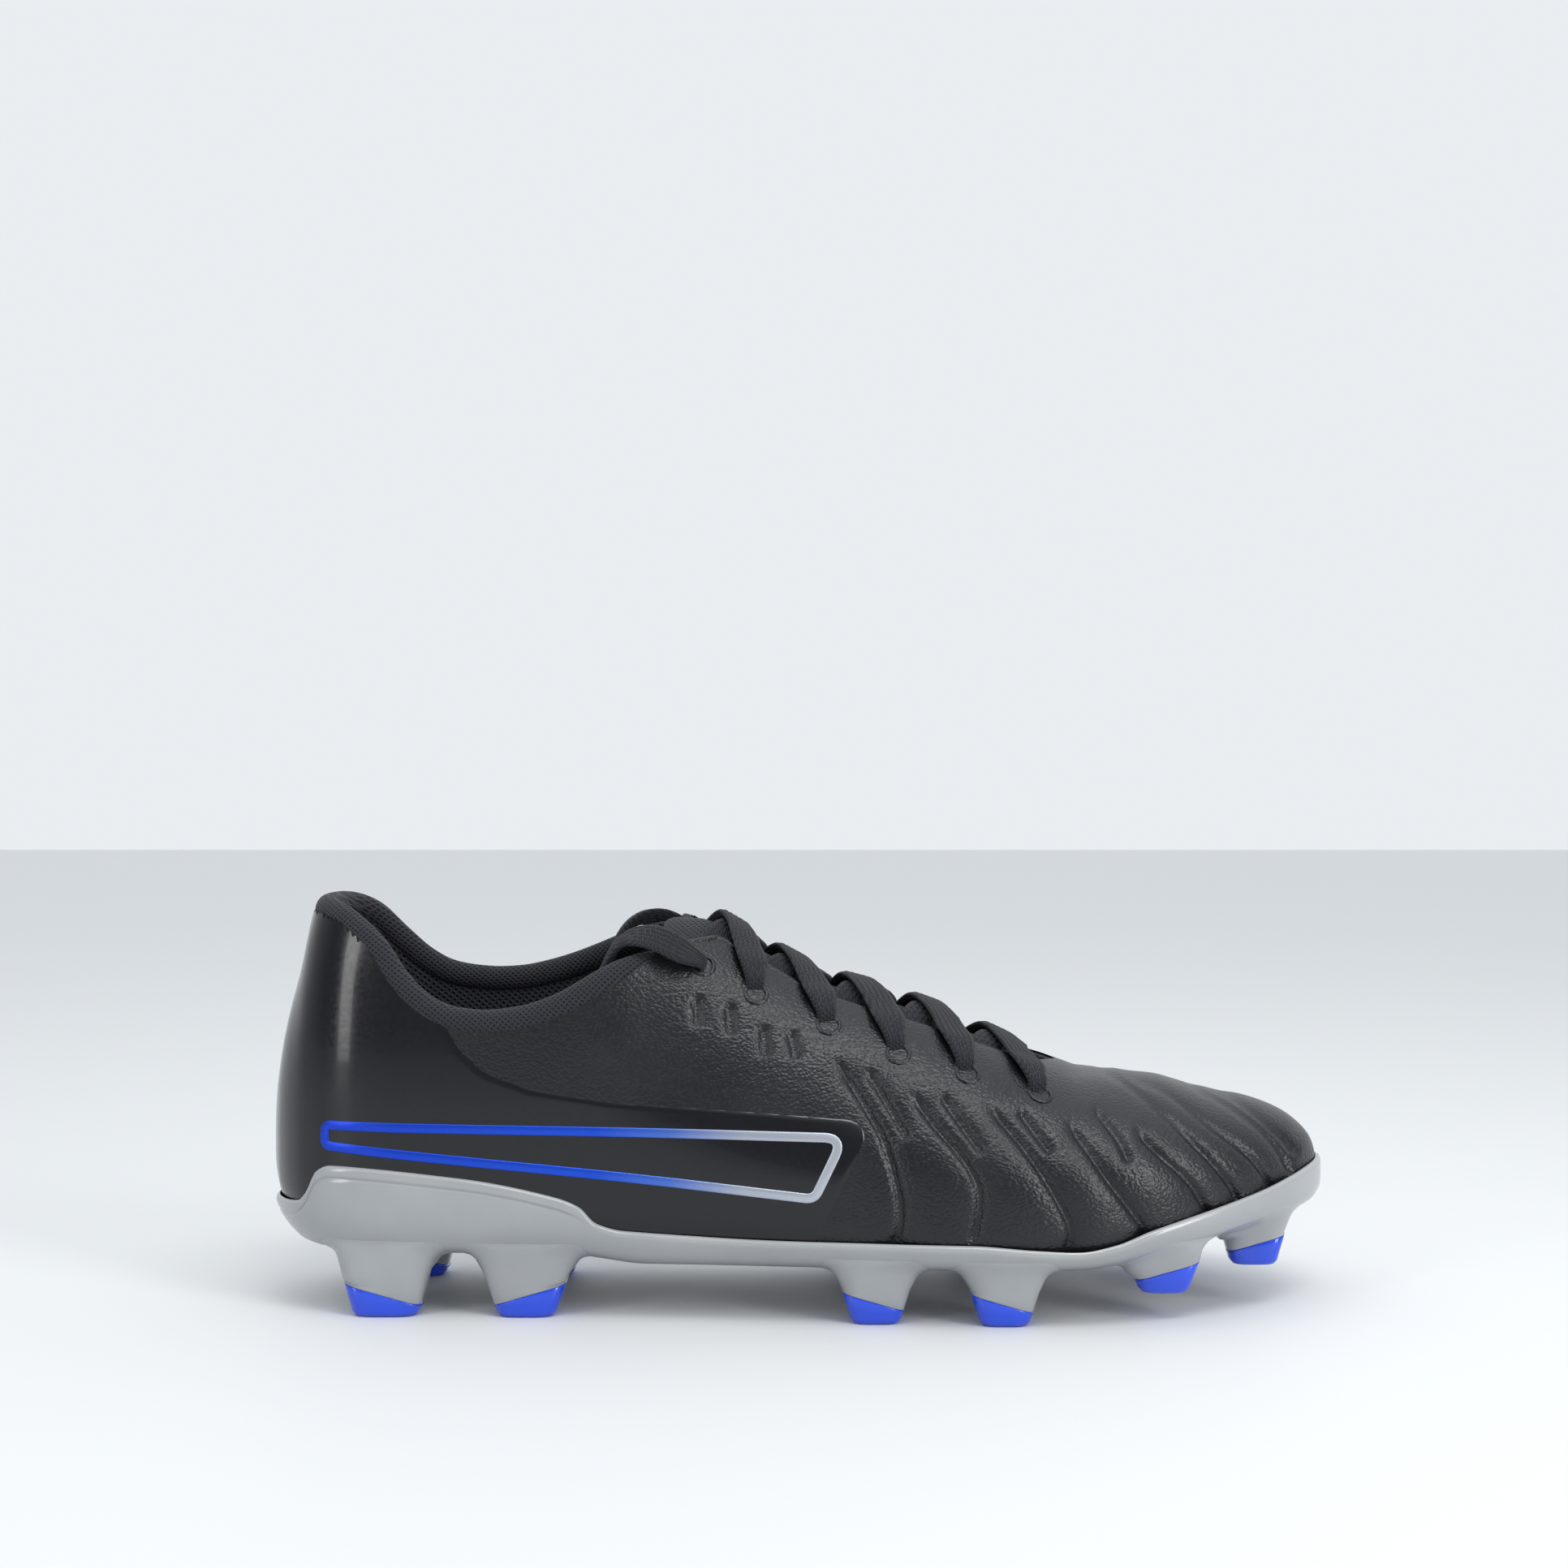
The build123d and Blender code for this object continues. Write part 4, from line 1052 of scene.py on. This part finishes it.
STUDS = [
    ("heel_lateral_rear", -109, -23.5, 0, 25, 17, 16, 10, -0.3),
    ("heel_lateral_front", -72, -24, 0, 25, 15, 16, 10, 0.3),
    ("heel_medial_rear", -109, 23.5, 0, 25, 17, 16, 10, -0.3),
    ("heel_medial_front", -72, 23, 0, 25, 15, 16, 10, 0.3),
    ("fore_lateral_rear", 19, -32, 0, 20, 12.5, 15, 9, -0.3),
    ("fore_lateral_mid", 52, -34.5, 0, 20, 12.5, 15, 9, -0.3),
    ("fore_medial_rear", 19, 29, 0, 20, 12.5, 15, 9, -0.3),
    ("fore_medial_mid", 52, 34.5, 0, 20, 12.5, 15, 9, -0.3),
    ("fore_lateral_front", 94, -28, 7, 19, 12.5, 14, 9, 0.3),
    ("toe_lateral", 120.6, -13, 11, 18, 12, 12, 8, 0.3),
    ("fore_medial_front", 94, 33, 7, 19, 12.5, 14, 9, 0.3),
    ("toe_medial", 120.6, 25, 11, 18, 12, 12, 8, 0.3)]
COLOUR_RISE = 5.9
STUD_POINTS = 56


def plate_bottom(x, y):
    """Height of the plate's underside over (x, y)."""
    return bisect(lambda z: field(x, y, z, PLATE_SKIN, PLATE_DEPTH) <= 0,
                  np.zeros(x.shape), np.full(x.shape, 33.0), 28)[1]


def stud_ring(x0, y0, length, width, grow=0.0):
    """Plan outline of a stud."""
    c, s = np.cos(circle(STUD_POINTS)), np.sin(circle(STUD_POINTS))
    r = (np.abs(c) ** 3.4 + np.abs(s) ** 3.4) ** (-1 / 3.4)
    return np.stack([x0 + (length / 2 + grow) * c * r, y0 + (width / 2 + grow) * s * r], axis=1)


def stud_meshes(name, x0, y0, tip_z, root_l, tip_l, root_w, tip_w, slant):
    """Grey post with a flared foot, and the blue tip below the colour line."""
    root_z = float(follow(UPPER_BOTTOM, x0)) - 3.2
    centre = np.array([x0, y0])
    post, tip = [], []
    for grow, fall in ((5.2, -0.5), (3.9, 0.05), (2.7, 0.35), (1.7, 0.85), (0.9, 1.6), (0.35, 2.5)):
        ring = stud_ring(x0, y0, root_l, root_w, grow)
        foot = centre + (ring - centre) * 0.3
        height = np.full(len(ring), 99.0)
        for share in np.linspace(1, 0.3, 57):
            spot = centre + (ring - centre) * share
            z = plate_bottom(spot[:, 0], spot[:, 1])
            take = (height > 90) & (z < root_z + 5.5)
            foot[take] = spot[take]
            height[take] = z[take]
        post.append(np.column_stack([foot, np.minimum(height, root_z + 5.5) - fall]))
    line_h = tip_z + COLOUR_RISE

    def at_share(share):
        return root_l + (tip_l - root_l) * share, root_w + (tip_w - root_w) * share

    span = root_z - tip_z
    for share in np.linspace(3.6 / span, 1, 9):
        z_plain = root_z - share * span
        if z_plain < line_h + 0.8:
            break
        ring = stud_ring(x0, y0, *at_share(share))
        post.append(np.column_stack([ring, np.full(len(ring), z_plain)]))

    def line_ring(lift, grow):
        l, w = at_share((root_z - line_h) / span)
        ring = stud_ring(x0, y0, l, w, grow)
        z = line_h + lift + slant * (ring[:, 0] - x0)
        share_v = (root_z - z) / span
        scale_l = (root_l + (tip_l - root_l) * share_v) / l
        scale_w = (root_w + (tip_w - root_w) * share_v) / w
        return np.column_stack([x0 + (ring[:, 0] - x0) * scale_l, y0 + (ring[:, 1] - y0) * scale_w, z])
    post = post[:6] + [np.column_stack([r[:, :2], np.maximum(r[:, 2], line_ring(0.5, 0)[:, 2])]) for r in post[6:]]
    post += [line_ring(0.25, 0.0), line_ring(0.05, -0.12), line_ring(0.0, -0.5)]
    tip += [line_ring(0.02, -0.9), line_ring(-0.03, -0.15), line_ring(-0.25, 0.0)]
    for z_here in np.linspace(line_h - 2.4, tip_z + 1.2, 5):
        ring = stud_ring(x0, y0, *at_share((root_z - z_here) / span))
        z = np.minimum(z_here, line_ring(-0.6, 0)[:, 2])
        tip.append(np.column_stack([ring, z]))
    for grow, lift in ((-0.12, 0.7), (-0.45, 0.25), (-0.95, 0.05), (-1.6, 0.0), (-2.6, 0.0)):
        tip.append(np.column_stack([stud_ring(x0, y0, tip_l, tip_w, grow), np.full(STUD_POINTS, tip_z + lift)]))

    def closed(rings):
        faces = [face[::-1] for face in tube_faces(len(rings), STUD_POINTS)]
        return np.array(rings).reshape(-1, 3), faces
    return closed(post), closed(tip)


for stud in STUDS:
    (post_v, post_f), (tip_v, tip_f) = stud_meshes(*stud)
    plate_parts.append((post_v, post_f[:-2] + post_f[-1:]))
    obj = mesh_object("blue_tip_" + stud[0], tip_v, tip_f)
    finish_piece(obj, STUD_BLUE, "forefoot" if stud[1] > 80 else "rear", ["stud_tip_" + stud[0]])
v, f = join_parts(plate_parts)
plate = mesh_object("outsole_cup", v, f)
finish_piece(plate, PLATE_GREY, "blend", ["outsole_plate", "outsole_toe"])

# ---------------------------------------------------------------- footbed
FLOOR_LINE = [(-150, 28), (-134, 25.5), (-124, 23.6), (-110, 22.6), (-85, 22.3), (-60, 22.1), (-40, 19.9),
              (70, 19.9), (80, 20.9), (92, 23.4), (108, 27.1), (125, 30.7), (136, 33), (150, 36)]
bed_x = np.concatenate([-136.2 + 10 * np.linspace(0, 1, 24) ** 2, np.linspace(-126, 120, 190)[1:],
                        120 + 14.5 * np.sin(np.linspace(0, math.pi / 2, 20))[1:]])
bed_u = np.sin(np.linspace(-math.pi / 2, math.pi / 2, 61))
bx, bu = np.meshgrid(bed_x, bed_u, indexing="ij")
bz = follow(FLOOR_LINE, bx) + 3.1
left = side_hit(bx[:, 0], bz[:, 0], -1, 4.9)
right = side_hit(bx[:, 0], bz[:, 0], 1, 4.9)
by = left[:, 1][:, None] * (1 - bu) / 2 + right[:, 1][:, None] * (1 + bu) / 2
bz = bz + 1.1 * np.abs(bu) ** 8
bed = mesh_object("footbed", np.stack([bx, by, bz], axis=-1).reshape(-1, 3), grid_faces(*bx.shape)[:, ::-1])
finish_piece(bed, FOOTBED_CLOTH, "blend", ["sockliner", "sockliner_toe"])
for name in ("strobel_board", "strobel_toe"):
    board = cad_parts[name]
    board.data.materials.clear()
    board.data.materials.append(BOARD_CLOTH)

# ---------------------------------------------------------------- floor, lights and camera
bpy.ops.mesh.primitive_plane_add(size=8, location=(0, 0, 0))
floor = bpy.context.object
floor.name = "floor"
floor_mat, floor_tree, floor_bsdf = shader("floor_paper", (0.68, 0.69, 0.695), 0.6)
floor.data.materials.append(floor_mat)

world = bpy.data.worlds.new("studio")
bpy.context.scene.world = world
world.use_nodes = True
world_tree = world.node_tree
background = world_tree.nodes["Background"]
background.inputs["Color"].default_value = (0.93, 0.965, 1.0, 1)
sky_coord = node(world_tree, "ShaderNodeTexCoord")
sky_split = node(world_tree, "ShaderNodeSeparateXYZ")
plug(sky_coord.outputs["Generated"], sky_split, 0)
sky = node(world_tree, "ShaderNodeMath", operation="MAXIMUM")
plug(map_range(world_tree, sky_split.outputs["Y"], -0.4, 0.5, 0.32, 0.88), sky, 0)
plug(map_range(world_tree, sky_split.outputs["Z"], 0.25, 0.9, 0.10, 1.35), sky, 1)
plug(sky.outputs[0], background, "Strength")
bpy.context.scene.view_settings.view_transform = "Standard"


def area_light(name, place, aim, size, power):
    """A soft rectangular light that points at a place."""
    data = bpy.data.lights.new(name, "AREA")
    data.shape = "RECTANGLE"
    data.size, data.size_y = size
    data.energy = power
    data.spread = math.radians(100)
    light = bpy.data.objects.new(name, data)
    light.location = place
    light.rotation_euler = (Vector(aim) - Vector(place)).to_track_quat("-Z", "Y").to_euler()
    bpy.context.scene.collection.objects.link(light)


area_light("key", (0.25, -0.6, 1.3), (0.02, 0, 0.05), (0.8, 0.35), 1.9)
area_light("strip", (-0.75, -0.75, 0.45), (-0.08, 0, 0.06), (0.16, 0.9), 0.8)
area_light("front", (0.78, -0.72, 0.42), (0.04, 0, 0.07), (0.3, 0.9), 2.2)

camera_data = bpy.data.cameras.new("camera")
camera_data.lens = 50.0
camera_data.sensor_width = 36.0
camera = bpy.data.objects.new("camera", camera_data)
camera.location = (-0.0047, -0.5955, 0.139)
camera.rotation_euler = (math.pi / 2, 0, 0)
bpy.context.scene.collection.objects.link(camera)
bpy.context.scene.camera = camera
